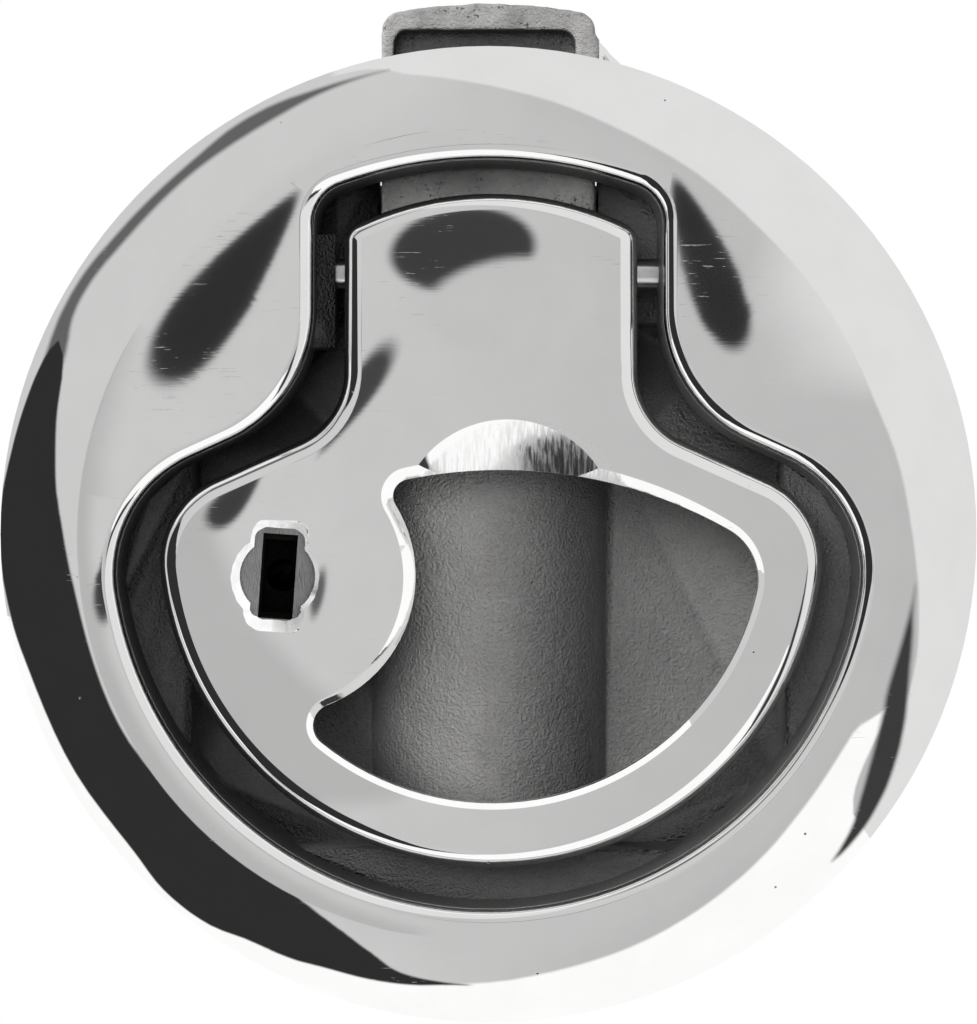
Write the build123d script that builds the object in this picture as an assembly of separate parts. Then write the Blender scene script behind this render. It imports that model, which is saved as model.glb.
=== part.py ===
from build123d import *
import os
from math import cos, radians, sin, sqrt, tan

# A flush locking slam latch for a hatch lid, in millimetres. The origin is the centre of the
# flange's underside, which lies on the lid. +Z comes out of the lid and +Y points to the bolt's nose.

# Flange and its dome
FLANGE_R = 38.1
FLANGE_EDGE = 1.2
CROWN_R = 31.5
CROWN_Z = 4.6
CROWN_RISE = 0.7
RIM_ROUND = 1.0

# Outline of the recess: a round lobe with a straight neck above it
POCKET = dict(
    neck=(-13.65, 13.65),
    top_y=29.2,
    top_r=34.0,
    top_corner=3.2,
    shoulder_y=10.29,
    shoulder_deg=24.2,
    hollow_r=11.0,
    lobe_r=29.2,
    lobe_corner=10.0,
)
POCKET_DRAFT = 3.0
SHELF_Z = -2.6
NECK_FLOOR_Z = -7.0
NECK_FLOOR_Y = 16.8

# Housing below the flange
WALL = 2.0
BARREL_R = 31.5
BARREL_DEPTH = 4.6
BOX_HALF = 25.4
BOX_BOTTOM_Y = -26.9
BOX_TOP_Y = 28.7
BACK_Z = -13.8
CORE_TOP_Z = 2.0

# Seal ring in its groove under the flange
SEAL_IN_R = 33.5
SEAL_OUT_R = 36.0
SEAL_T = 1.0
SEAL_PLAY = 0.05

# Pivot pin
PIN_R = 1.2
PIN_Y = 20.5
PIN_Z = -2.0
PIN_FIT = 0.05
PIN_BLIND = 2.6
PIN_END_PLAY = 0.1
PIN_SUNK = 0.3
PIN_CHAMFER = 0.25
KNUCKLE_R = 2.4
KNUCKLE_FIT = 0.09
KNUCKLE_LEFT_STEP = 0.5
KNUCKLE_RIGHT_STEP = 0.3
LUG_WIDTH = 1.65
LUG_UP = 2.9
LUG_DOWN = 5.9
LUG_TOP_Z = 0.5
LUG_ROOT = 0.5

# Handle
HANDLE_TOP_Z = 4.4
HANDLE_T = 3.2
HANDLE_DOME_R = 420.0
HANDLE_ROUND = 1.4
HANDLE_SHIFT = 0.2
HANDLE = dict(
    neck=(-11.4, 11.4),
    top_y=26.5,
    top_r=24.5,
    top_corner=1.5,
    shoulder_y=8.75,
    shoulder_deg=24.0,
    hollow_r=6.0,
    lobe_r=25.9,
    lobe_corner=7.0,
)

# Finger hole: a ring round the lobe's centre, a brow above and a guard round the lock
HOLE_R = 21.1
HOLE_AT = (0.3, 0.2)
BROW_R = 36.0
BROW_AT = (1.0, -31.0)
LOCK_GUARD_R = 10.7
HOLE_TIP_R = 1.7
HOLE_BROW_TIP_R = 1.3
HOLE_RIGHT_R = 4.5
HOLE_BEVEL = 1.0
SCOOP_AT = (1.5, 0.45)
SCOOP_R = 8.6
SCOOP_BALL_R = 16.0

# Tail of the handle, which draws the bolt
TAIL_HALF = 4.0
TAIL_BACK = 2.2
TAIL_DROP = 9.0
TAIL_R = 1.3
TAIL_GAP = 0.4
TAIL_SWING = 5.2

# Bolt
BOLT_HALF = 8.55
BOLT_TOP_Z = -4.8
BOLT_TIP_Y = 42.15
BOLT_TIP_R = 40.0
BOLT_CORNER = 1.6
BOLT_REAR_Y = 14.0
BOLT_PLAY = 0.2
BOLT_TRAVEL = 6.0
BEVEL_TIP = 2.5
BEVEL_DEG = 42.0
NOSE_POCKET = (-7.45, 6.8)
NOSE_POCKET_TOP_Y = 39.95
NOSE_POCKET_DEPTH = 3.0
NOSE_POCKET_LENGTH = 10.0
NOSE_POCKET_R = 1.0
WINDOW_SIDE = 0.4
SLAM_ROOM = 5.8
FIN = [(0.0, 35.4), (3.4, 35.4), (2.4, 37.0), (0.0, 40.7)]
FIN_ROOT = 1.0
FIN_Z = (-12.0, -5.0)
SHANK_R = 7.4
SHANK_END_Y = -4.0

# Tunnel of the bolt, a half round over the open back
TUNNEL_R = 7.75
TUNNEL_END_Y = -20.9
TUNNEL_FRONT_Y = 8.0
ROOF_WALL = 1.6
ROOF_END = 2.0
SPRING_AXIS_Z = -10.1
SPRING_BORE_R = 2.7
SPRING_BORE_DEPTH = 12.0
SPRING_WIRE_R = 0.35
SPRING_MEAN_R = 2.1
SPRING_TURNS = 11
ROD_R = 1.3
ROD_SEAT = 3.6
ROD_CLEAR = 1.0
ROD_END_PLAY = 0.1
ROD_CHAMFER = 0.3

# Rest pad under the handle
PAD = (10.0, 3.0)
PAD_Y = 9.6
PAD_GAP = 0.1
PAD_ROOT = 1.0

# Torsion spring on the pin, at the right end of the knuckle
COIL_WIRE_R = 0.3
COIL_MEAN_R = 1.95
COIL_TURNS = 3.5
COIL_SPACE = 2.9
COIL_PITCH = 1.08
COIL_REACH = 3.0
LEG_GAP = 0.1

# Lock in the handle
LOCK_AT = (-16.36, -3.28)
KEYHOLE_R = 2.93
KEYHOLE_EAR = (3.9, 8.35)
KEYHOLE_TILT = -4.0
KEYHOLE_SKIN = 1.2
KEYHOLE_EAR_R = 0.7
KEYHOLE_BEVEL = 0.5
LOCK_BOSS_R = 6.2
LOCK_BARREL_R = 5.2
LOCK_BARREL_END_Z = -5.5
PLUG_R = 4.3
PLUG_FIT = 0.05
PLUG_RECESS = 0.15
KEY_SLOT = (2.7, 6.6)
KEY_SLOT_DEPTH = 8.6
WAFER = (3.7, 7.2, 0.8)
WAFER_WINDOW = (2.5, 6.0)
WAFER_COUNT = 4
WAFER_PITCH = 1.7
WAFER_FIRST_Z = 1.4
WAFER_PLAY = 0.05
WAFER_STEP = 0.3
CLIP_T = 0.6
CLIP_R = 4.9
CLIP_GROOVE_R = 3.5
CLIP_OPENING = 60.0
CLIP_FIT = 0.05
CLIP_PLAY = 0.02
TANG = 3.6
TANG_FIT = 0.05
TANG_CORNER = 0.4
CAM_T = 1.5
CAM_HUB_R = 3.4
CAM_REACH = 10.0
CAM_WIDTH = 5.0
CAM_GAP = 0.2
CAM_END_R = 1.7
CAM_SCREW_R = 1.25
CAM_SCREW_HEAD = (2.4, 1.4)
CAM_SCREW_ROUND = 0.4
CAM_SCREW_DEPTH = 3.2
CAM_WASHER = (3.2, 0.4)
KEEPER_PLAY = 0.5

# Rear cover and its screws
COVER_T = 2.0
COVER_TOP_HALF = 14.8
COVER_LOW_HALF = 9.2
COVER_STEP_Y = 12.0
COVER_MARGIN = 0.5
COVER_CORNER = 2.0
COVER_SCREW_R = 1.25
COVER_SCREW_HEAD_R = 2.3
COVER_SCREW_LENGTH = 7.0
SCREW_HOLE_FIT = 0.15
COVER_SCREW_TOP = (11.8, 24.0)
COVER_SCREW_LOW = (5.6, -23.7)
SCREW_FIT = 0.05
DRIVE_R = 1.0
DRIVE_DEPTH = 0.8

# Clamp behind the lid
LID_ROOM = 4.2
STUD_R = 2.0
STUD_AT = (26.4, 7.0)
STUD_BOSS_R = 3.8
STUD_SEAT = 7.0
HOLE_END = 0.2
STUD_TAIL = 2.2
STUD_CHAMFER = 0.4
CLAMP_T = 2.0
CLAMP_WIDTH = 12.0
CLAMP_HALF = 35.5
CLAMP_BEND = 3.0
CLAMP_GAP = 0.5
CLAMP_HOLE_R = 2.2
NUT_FLATS = 7.0
NUT_T = 3.2
NUT_CHAMFER = 0.5
WASHER_R = 4.5
WASHER_T = 0.8

# Sizes worked out from those above
BOLT_BOTTOM_Z = BACK_Z + BOLT_PLAY
BOLT_MID_Y = (BOLT_REAR_Y + BOLT_TIP_Y) / 2
CHANNEL_HALF = BOLT_HALF + BOLT_PLAY
CHANNEL_TOP_Z = BOLT_TOP_Z + BOLT_PLAY
HANDLE_UNDER_Z = HANDLE_TOP_Z - HANDLE_T
TAIL_Y = PIN_Y - TAIL_BACK
TAIL_Z = PIN_Z - TAIL_DROP
WINDOW_REAR_Y = TAIL_Y - TAIL_R - TAIL_GAP
WINDOW_FRONT_Y = TAIL_Y + TAIL_R + SLAM_ROOM
SWING_REAR_Y = TAIL_Y - TAIL_SWING
HUMP_R = TUNNEL_R + WALL
ROOF_FRONT_Y = NECK_FLOOR_Y
ROOF_REAR_Y = TUNNEL_FRONT_Y - ROOF_END
ROOF_Z = CHANNEL_TOP_Z + ROOF_WALL
LOCK_FACE_Z = HANDLE_TOP_Z - KEYHOLE_SKIN
CLIP_Z = LOCK_BARREL_END_Z - CLIP_T
PLUG_END_Z = CLIP_Z - CAM_GAP - CLIP_T
CAM_Z = PLUG_END_Z - CAM_T
CAM_SEAT_Z = CAM_Z - CAM_WASHER[1]
COVER_Z = BACK_Z - COVER_T
CLAMP_TOP_Z = COVER_Z - CLAMP_GAP
CLAMP_BACK_Z = CLAMP_TOP_Z - CLAMP_T
WASHER_Z = CLAMP_BACK_Z - WASHER_T
NUT_Z = WASHER_Z - NUT_T
STUD_END_Z = NUT_Z - STUD_TAIL
KNUCKLE_LEFT = HANDLE["neck"][0] + HANDLE_SHIFT + KNUCKLE_LEFT_STEP
KNUCKLE_RIGHT = HANDLE["neck"][1] + HANDLE_SHIFT - KNUCKLE_RIGHT_STEP - COIL_SPACE

FAR = 60.0
CUT = 1.0
OVER = 0.2


def slab(x0, x1, y0, y1, z0, z1):
    """A block between two corners."""
    size = (x1 - x0, y1 - y0, z1 - z0)
    middle = ((x0 + x1) / 2, (y0 + y1) / 2, (z0 + z1) / 2)
    return Pos(*middle) * Box(*size)


def post(radius, z0, z1, at=(0.0, 0.0)):
    """An upright cylinder from z0 to z1."""
    return Pos(at[0], at[1], (z0 + z1) / 2) * Cylinder(radius, z1 - z0)


def rod_x(radius, x0, x1, y, z):
    """A cylinder along X."""
    return Pos((x0 + x1) / 2, y, z) * Rot(0, 90, 0) * Cylinder(radius, x1 - x0)


def rod_y(radius, y0, y1, x, z):
    """A cylinder along Y."""
    return Pos(x, (y0 + y1) / 2, z) * Rot(90, 0, 0) * Cylinder(radius, y1 - y0)


def raised(face, z0, z1):
    """A flat outline drawn at z = 0, made solid from z0 to z1."""
    return Pos(0, 0, z0) * extrude(face, amount=z1 - z0)


def bell(neck, top_y, top_r, top_corner, shoulder_y, shoulder_deg, hollow_r, lobe_r, lobe_corner):
    """The bell-shaped outline that the recess and the handle share."""
    left, right = neck
    fall = tan(radians(shoulder_deg))
    under = Polygon(
        (left, shoulder_y),
        (-FAR, shoulder_y - fall * (FAR + left)),
        (-FAR, -FAR),
        (FAR, -FAR),
        (FAR, shoulder_y - fall * (FAR - right)),
        (right, shoulder_y),
        align=None,
    )
    lobe = Rot(0, 0, -90) * Circle(lobe_r) & under
    middle = (left + right) / 2
    column = Pos(middle, 0) * Rectangle(right - left, 2 * top_y)
    column = column & Pos(middle, top_y - top_r) * Circle(top_r)
    column = column & Pos(0, FAR) * Rectangle(2 * FAR, 2 * FAR)
    face = lobe + column
    face = fillet(face.vertices().filter_by(lambda v: v.Y > shoulder_y + 3.0), top_corner)
    face = fillet(face.vertices().filter_by(lambda v: abs(v.Y - shoulder_y) < 0.01), hollow_r)
    sides = face.vertices().filter_by(lambda v: v.Y > 0.5 and abs(v.X) > lobe_r - 4.0)
    return fillet(sides, lobe_corner)


def finger_hole():
    """Outline of the opening in the handle: a crescent round the lock."""
    ring = Pos(*HOLE_AT) * Circle(HOLE_R)
    brow = Pos(*BROW_AT) * Circle(BROW_R)
    face = (ring & brow) - Pos(*LOCK_AT) * Circle(LOCK_GUARD_R)
    face = fillet(face.vertices().filter_by(lambda v: v.X > 15.0 and v.Y > -8.0), HOLE_RIGHT_R)
    face = fillet(face.vertices().filter_by(lambda v: v.X < 0.0 and v.Y > 0.0), HOLE_BROW_TIP_R)
    return fillet(face.vertices().filter_by(lambda v: v.X < -8.0), HOLE_TIP_R)


def dome():
    """The flange before its recess is cut: a low crown with a falling outer band."""
    crown_radius = (CROWN_R**2 + CROWN_RISE**2) / (2 * CROWN_RISE)
    crown = RadiusArc((0, CROWN_Z + CROWN_RISE), (CROWN_R, CROWN_Z), crown_radius)
    band_slope = crown % 1
    band = TangentArc((CROWN_R, CROWN_Z), (FLANGE_R, FLANGE_EDGE), tangent=band_slope)
    edge = Line((FLANGE_R, FLANGE_EDGE), (FLANGE_R, 0))
    under = Line((FLANGE_R, 0), (0, 0))
    axis = Line((0, 0), (0, CROWN_Z + CROWN_RISE))
    profile = make_face([crown, band, edge, under, axis])
    return revolve(Plane.XZ * profile, Axis.Z)


def bowl():
    """The drafted upper part of the recess, from above the crown down to the shelf."""
    top = CROWN_Z + CROWN_RISE + CUT
    spread = (top - CROWN_Z) * tan(radians(POCKET_DRAFT))
    mouth = offset(bell(**POCKET), spread)
    return Pos(0, 0, top) * extrude(mouth, amount=SHELF_Z - top, taper=POCKET_DRAFT)


def flange():
    """The dome with the bowl cut through it and the rim rounded."""
    body = dome() - bowl()
    rim = body.edges().filter_by(lambda e: e.center().Z > CROWN_Z + 0.01)
    return fillet(rim, RIM_ROUND)


def rear_body():
    """Barrel and rear box before anything is cut from them."""
    barrel = post(BARREL_R, -BARREL_DEPTH, 0)
    box = slab(-BOX_HALF, BOX_HALF, BOX_BOTTOM_Y, BOX_TOP_Y, BACK_Z, -BARREL_DEPTH)
    shell = raised(offset(bell(**POCKET), WALL), BACK_Z, -BARREL_DEPTH)
    box = box & shell & post(BARREL_R, BACK_Z, 0)
    bosses = [post(STUD_BOSS_R, BACK_Z, -BARREL_DEPTH, at) for at in stud_places()]
    return barrel + box + bosses


def stud_places():
    """The two clamp studs, left and right of the box."""
    return [(-STUD_AT[0], STUD_AT[1]), STUD_AT]


def cover_screw_places():
    """Four screws: two beside the bolt's channel and two in the tunnel's end wall."""
    return [(side * x, y) for x, y in (COVER_SCREW_TOP, COVER_SCREW_LOW) for side in (-1, 1)]


def pocket_cut():
    """What the recess takes out below the shelf, down to the box floor and the neck's floor."""
    outline = bell(**POCKET)
    deep = raised(outline, BACK_Z + WALL, SHELF_Z)
    floor = slab(-BOX_HALF + WALL, BOX_HALF - WALL, BOX_BOTTOM_Y + WALL, ROOF_FRONT_Y, BACK_Z, 0)
    neck = raised(outline, NECK_FLOOR_Z, SHELF_Z)
    neck = neck & slab(-FAR, FAR, NECK_FLOOR_Y, FAR, BACK_Z, 0)
    return (deep & floor) + neck


def tunnel_outside():
    """The half-round hump over the bolt and its spring, with the square roof over the bolt's block."""
    hump = rod_y(HUMP_R, BOX_BOTTOM_Y + WALL / 2, ROOF_FRONT_Y, 0, BACK_Z)
    roof_half = CHANNEL_HALF + ROOF_WALL
    roof = slab(-roof_half, roof_half, ROOF_REAR_Y, ROOF_FRONT_Y, BACK_Z, ROOF_Z)
    width, depth = PAD
    pad_top = HANDLE_UNDER_Z - PAD_GAP
    pad = slab(-width / 2, width / 2, PAD_Y, PAD_Y + depth, ROOF_Z - PAD_ROOT, pad_top)
    hump = hump & slab(-FAR, FAR, -FAR, FAR, BACK_Z, FAR)
    return hump + roof + pad


def tunnel_inside():
    """The bolt's way: a half-round run, the square channel, the way out and the tail's slot."""
    run = rod_y(TUNNEL_R, TUNNEL_END_Y, TUNNEL_FRONT_Y, 0, BACK_Z)
    channel = slab(-CHANNEL_HALF, CHANNEL_HALF, TUNNEL_FRONT_Y, FAR, BACK_Z - CUT, CHANNEL_TOP_Z)
    half = TAIL_HALF + WINDOW_SIDE
    swing = slab(-half, half, SWING_REAR_Y, ROOF_FRONT_Y + CUT, CHANNEL_TOP_Z - CUT, ROOF_Z + CUT)
    return run + channel + swing


def barrel_core():
    """The hollows behind the shoulders, between the barrel's wall and the recess's wall."""
    inside = post(BARREL_R - WALL, -BARREL_DEPTH, CORE_TOP_Z)
    wall = raised(offset(bell(**POCKET), WALL), -BARREL_DEPTH, CORE_TOP_Z)
    upper = slab(-FAR, FAR, POCKET["shoulder_y"] - WALL, FAR, -FAR, FAR)
    bosses = [post(STUD_BOSS_R, -BARREL_DEPTH, CORE_TOP_Z, at) for at in stud_places()]
    neck_tie = slab(-FAR, FAR, PIN_Y - PIN_R - WALL, PIN_Y + PIN_R + WALL, -FAR, FAR)
    return (inside & upper) - wall - bosses - neck_tie


def housing():
    """The one-piece casting."""
    body = flange() + (rear_body() - bowl())
    body = body - barrel_core()
    body = body - (pocket_cut() - tunnel_outside())
    left = POCKET["neck"][0]
    lug = slab(left - LUG_ROOT, left + LUG_WIDTH, PIN_Y - LUG_DOWN, PIN_Y + LUG_UP, NECK_FLOOR_Z, LUG_TOP_Z)
    body = body + lug - tunnel_inside()
    body = body - rod_x(PIN_R + PIN_FIT, left - PIN_BLIND, BARREL_R, PIN_Y, PIN_Z)
    reach = CAM_REACH + KEEPER_PLAY
    half = CAM_WIDTH / 2 + KEEPER_PLAY
    keeper = slab(
        -BOX_HALF - CUT,
        -BOX_HALF + WALL + CUT,
        LOCK_AT[1] - reach,
        LOCK_AT[1] + half,
        CAM_Z - KEEPER_PLAY,
        CAM_Z + CAM_T + KEEPER_PLAY,
    )
    body = body - keeper
    body = body - [post(STUD_R, BACK_Z, BACK_Z + STUD_SEAT + HOLE_END, at) for at in stud_places()]
    depth = COVER_SCREW_LENGTH - COVER_T + HOLE_END
    for at in cover_screw_places():
        body = body - post(COVER_SCREW_R + SCREW_FIT, BACK_Z, BACK_Z + depth, at)
    body = body - rod_y(ROD_R + SCREW_FIT, TUNNEL_END_Y - ROD_SEAT, TUNNEL_END_Y, 0, SPRING_AXIS_Z)
    groove = post(SEAL_OUT_R, 0, SEAL_T) - post(SEAL_IN_R, 0, SEAL_T)
    return body - groove


def flange_seal():
    """Flat ring that lies in the groove under the flange."""
    ring = post(SEAL_OUT_R - SEAL_PLAY, 0, SEAL_T) - post(SEAL_IN_R + SEAL_PLAY, 0, SEAL_T)
    return ring


def keyhole():
    """Round keyhole with two ears, slightly turned."""
    ears = Rectangle(*KEYHOLE_EAR)
    ears = fillet(ears.vertices(), KEYHOLE_EAR_R)
    face = Circle(KEYHOLE_R) + ears
    return Pos(*LOCK_AT) * Rot(0, 0, KEYHOLE_TILT) * face


def mouth(outline, bevel):
    """The 45 degree bevel round an opening in the handle's top."""
    return Pos(0, 0, HANDLE_TOP_Z - bevel) * extrude(outline, amount=bevel + OVER, taper=-45)


def scooped_plate():
    """The handle's plate: domed, rounded at its edge, with the scooped finger hole."""
    shape = Pos(HANDLE_SHIFT, 0) * bell(**HANDLE)
    plate = raised(shape, HANDLE_UNDER_Z, HANDLE_TOP_Z + CUT)
    plate = plate & Pos(0, 0, HANDLE_TOP_Z - HANDLE_DOME_R) * Sphere(HANDLE_DOME_R)
    top = plate.faces().sort_by(Axis.Z)[-1]
    plate = fillet(top.outer_wire().edges(), HANDLE_ROUND)
    lift = sqrt(SCOOP_BALL_R**2 - SCOOP_R**2)
    scoop = Pos(SCOOP_AT[0], SCOOP_AT[1], HANDLE_TOP_Z + lift) * Sphere(SCOOP_BALL_R)
    hole = raised(finger_hole(), HANDLE_UNDER_Z - CUT, HANDLE_TOP_Z + CUT)
    return plate - scoop - hole - mouth(finger_hole(), HOLE_BEVEL)


def tail():
    """Finger that reaches down into the bolt's window, drawn from the side."""
    side = SlotCenterToCenter(sqrt(TAIL_BACK**2 + TAIL_DROP**2), 2 * TAIL_R)
    middle = ((PIN_Y + TAIL_Y) / 2, (PIN_Z + TAIL_Z) / 2)
    lean = Vector(TAIL_BACK, TAIL_DROP).get_signed_angle(Vector(1, 0)) * -1
    side = Pos(*middle) * Rot(0, 0, lean) * side
    return extrude(Plane.YZ * side, amount=TAIL_HALF, both=True)


def knuckle():
    """The round eye about the pin and the web that ties it to the plate."""
    eye = rod_x(KNUCKLE_R, KNUCKLE_LEFT, KNUCKLE_RIGHT, PIN_Y, PIN_Z)
    web = slab(
        KNUCKLE_LEFT, KNUCKLE_RIGHT, PIN_Y - KNUCKLE_R, PIN_Y + KNUCKLE_R, PIN_Z, HANDLE_UNDER_Z
    )
    return eye + web


def pull_handle():
    """Lift handle with its knuckle, tail and lock boss, cast in one piece."""
    body = scooped_plate() + knuckle() + tail()
    body = body + post(LOCK_BOSS_R, LOCK_BARREL_END_Z, HANDLE_UNDER_Z, LOCK_AT)
    body = body - post(LOCK_BARREL_R, LOCK_BARREL_END_Z - CUT, LOCK_FACE_Z, LOCK_AT)
    body = body - raised(keyhole(), LOCK_FACE_Z - CUT, HANDLE_TOP_Z + CUT)
    body = body - mouth(keyhole(), KEYHOLE_BEVEL)
    return body - rod_x(PIN_R + KNUCKLE_FIT, -FAR, FAR, PIN_Y, PIN_Z)


def pivot_pin():
    """Pin through the handle, seated in a blind hole on the left and in the barrel on the right."""
    left = POCKET["neck"][0] - PIN_BLIND + PIN_END_PLAY
    right = sqrt(BARREL_R**2 - (PIN_Y + PIN_R) ** 2) - PIN_SUNK
    pin = rod_x(PIN_R, left, right, PIN_Y, PIN_Z)
    return chamfer(pin.edges().filter_by(GeomType.CIRCLE), PIN_CHAMFER)


def coil(mean, wire, start, length, turns):
    """A helical spring along +Z, from start, with round wire."""
    pitch = (length - 2 * wire) / turns
    path = Helix(pitch=pitch, height=length - 2 * wire, radius=mean)
    section = Plane(path @ 0, z_dir=path % 0) * Circle(wire)
    return Pos(0, 0, start + wire) * sweep(section, path=path, is_frenet=True)


def leg(start, end, radius):
    """A straight round wire between two points, with a ball at its start."""
    run = Vector(*end) - Vector(*start)
    wire = extrude(Plane(start, z_dir=run) * Circle(radius), amount=run.length)
    return wire + Pos(*start) * Sphere(radius)


def handle_spring():
    """Torsion spring on the pin: one leg under the handle's top end, one on the neck's floor."""
    length = COIL_TURNS * 2 * COIL_WIRE_R * COIL_PITCH + 2 * COIL_WIRE_R
    start = KNUCKLE_RIGHT + (COIL_SPACE - length) / 2
    seat = Plane((start, PIN_Y, PIN_Z), x_dir=(0, 0, 1), z_dir=(1, 0, 0))
    turns = seat * coil(COIL_MEAN_R, COIL_WIRE_R, 0, length, COIL_TURNS)
    first = start + COIL_WIRE_R
    last = start + length - COIL_WIRE_R
    end_y = PIN_Y + COIL_REACH
    upper = (first, end_y, HANDLE_UNDER_Z - COIL_WIRE_R - LEG_GAP)
    lower = (last, end_y, NECK_FLOOR_Z + COIL_WIRE_R + LEG_GAP)
    spring = turns + leg((first, PIN_Y, PIN_Z + COIL_MEAN_R), upper, COIL_WIRE_R)
    return spring + leg((last, PIN_Y, PIN_Z - COIL_MEAN_R), lower, COIL_WIRE_R)


def slam_bolt():
    """Cast bolt: nose with a slam bevel and an open pocket, window for the tail, half-round shank."""
    body = slab(-BOLT_HALF, BOLT_HALF, BOLT_REAR_Y, BOLT_TIP_Y, BOLT_BOTTOM_Z, BOLT_TOP_Z)
    body = body & post(BOLT_TIP_R, BOLT_BOTTOM_Z, BOLT_TOP_Z, (0, BOLT_TIP_Y - BOLT_TIP_R))
    tips = body.edges().filter_by(Axis.Z).filter_by(lambda e: e.center().Y > BOLT_MID_Y)
    body = fillet(tips, BOLT_CORNER)
    shank = rod_y(SHANK_R, SHANK_END_Y, BOLT_REAR_Y, 0, BACK_Z)
    body = body + (shank & slab(-FAR, FAR, -FAR, FAR, BOLT_BOTTOM_Z, 0))
    slope = tan(radians(BEVEL_DEG))
    bevel_z = BOLT_TOP_Z - BEVEL_TIP
    run = (bevel_z - BOLT_BOTTOM_Z + CUT) / slope
    bevel = Polygon(
        (BOLT_TIP_Y + CUT, bevel_z + CUT * slope),
        (BOLT_TIP_Y + CUT, BOLT_BOTTOM_Z - CUT),
        (BOLT_TIP_Y - run, BOLT_BOTTOM_Z - CUT),
        align=None,
    )
    side = [(BOLT_HALF + (x or -FIN_ROOT), y) for x, y in FIN]
    body = body + raised(Polygon(*side, align=None), *FIN_Z)
    body = body - extrude(Plane.YZ * bevel, amount=FAR, both=True)
    left, right = NOSE_POCKET
    pocket = slab(
        left,
        right,
        NOSE_POCKET_TOP_Y - NOSE_POCKET_LENGTH,
        NOSE_POCKET_TOP_Y,
        BOLT_TOP_Z - NOSE_POCKET_DEPTH,
        BOLT_TOP_Z + CUT,
    )
    body = body - fillet(pocket.edges().filter_by(Axis.Z), NOSE_POCKET_R)
    half = TAIL_HALF + WINDOW_SIDE
    body = body - slab(-half, half, WINDOW_REAR_Y, WINDOW_FRONT_Y, BACK_Z, 0)
    return body - rod_y(SPRING_BORE_R, -FAR, SHANK_END_Y + SPRING_BORE_DEPTH, 0, SPRING_AXIS_Z)


def bolt_spring():
    """Compression spring between the tunnel's end wall and the bottom of the bolt's bore."""
    length = SHANK_END_Y + SPRING_BORE_DEPTH - TUNNEL_END_Y
    spring = coil(SPRING_MEAN_R, SPRING_WIRE_R, 0, length, SPRING_TURNS)
    return Pos(0, TUNNEL_END_Y, SPRING_AXIS_Z) * Rot(-90, 0, 0) * spring


def spring_guide_rod():
    """Rod that stands in the tunnel's end wall and keeps the spring straight."""
    tip = SHANK_END_Y + SPRING_BORE_DEPTH - BOLT_TRAVEL - ROD_CLEAR
    rod = rod_y(ROD_R, TUNNEL_END_Y - ROD_SEAT + ROD_END_PLAY, tip, 0, SPRING_AXIS_Z)
    return chamfer(rod.edges().filter_by(GeomType.CIRCLE), ROD_CHAMFER)


def rear_cover():
    """Plate over the open back of the tunnel and channel, with sunk screw holes."""
    low = Pos(0, (BOX_BOTTOM_Y + COVER_STEP_Y) / 2) * Rectangle(
        2 * COVER_LOW_HALF, COVER_STEP_Y - BOX_BOTTOM_Y - 2 * COVER_MARGIN
    )
    top = Pos(0, (COVER_STEP_Y + BOX_TOP_Y) / 2) * Rectangle(
        2 * COVER_TOP_HALF, BOX_TOP_Y - COVER_STEP_Y - 2 * COVER_MARGIN
    )
    low = low + Pos(0, COVER_STEP_Y) * Rectangle(2 * COVER_LOW_HALF, 4 * COVER_MARGIN)
    face = low + top
    face = fillet(face.vertices(), COVER_CORNER)
    plate = raised(face, COVER_Z, BACK_Z)
    for at in cover_screw_places():
        plate = plate - post(COVER_SCREW_R + SCREW_HOLE_FIT, COVER_Z - CUT, BACK_Z + CUT, at)
        plate = plate - sunk_head(at, COVER_SCREW_HEAD_R + SCREW_FIT)
    return plate


def sunk_head(at, radius):
    """The cone of a sunk screw head, flush with the cover's back."""
    depth = radius - COVER_SCREW_R
    cone = Cone(radius, COVER_SCREW_R, depth)
    return Pos(at[0], at[1], COVER_Z + depth / 2) * cone


def hex_drive(at, face_z, deep):
    """Hexagonal recess in a screw head that looks down, deep mm into it."""
    socket = extrude(RegularPolygon(DRIVE_R, 6), amount=deep + CUT)
    return Pos(at[0], at[1], face_z - CUT) * socket


def cover_screws():
    """Four sunk screws of the rear cover."""
    screws = []
    for at in cover_screw_places():
        shank = post(COVER_SCREW_R, COVER_Z + DRIVE_DEPTH / 2, COVER_Z + COVER_SCREW_LENGTH, at)
        screw = shank + sunk_head(at, COVER_SCREW_HEAD_R)
        screws.append(screw - hex_drive(at, COVER_Z, DRIVE_DEPTH))
    return Compound(children=screws)


def lock_barrel():
    """Fixed sleeve of the lock, pressed into the handle's boss."""
    barrel = post(LOCK_BARREL_R - PLUG_FIT, LOCK_BARREL_END_Z, LOCK_FACE_Z, LOCK_AT)
    return barrel - post(PLUG_R + PLUG_FIT, LOCK_BARREL_END_Z - CUT, LOCK_FACE_Z + CUT, LOCK_AT)


def wafer_levels():
    """The lower faces of the wafers' slots."""
    return [WAFER_FIRST_Z - i * WAFER_PITCH for i in range(WAFER_COUNT)]


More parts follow.
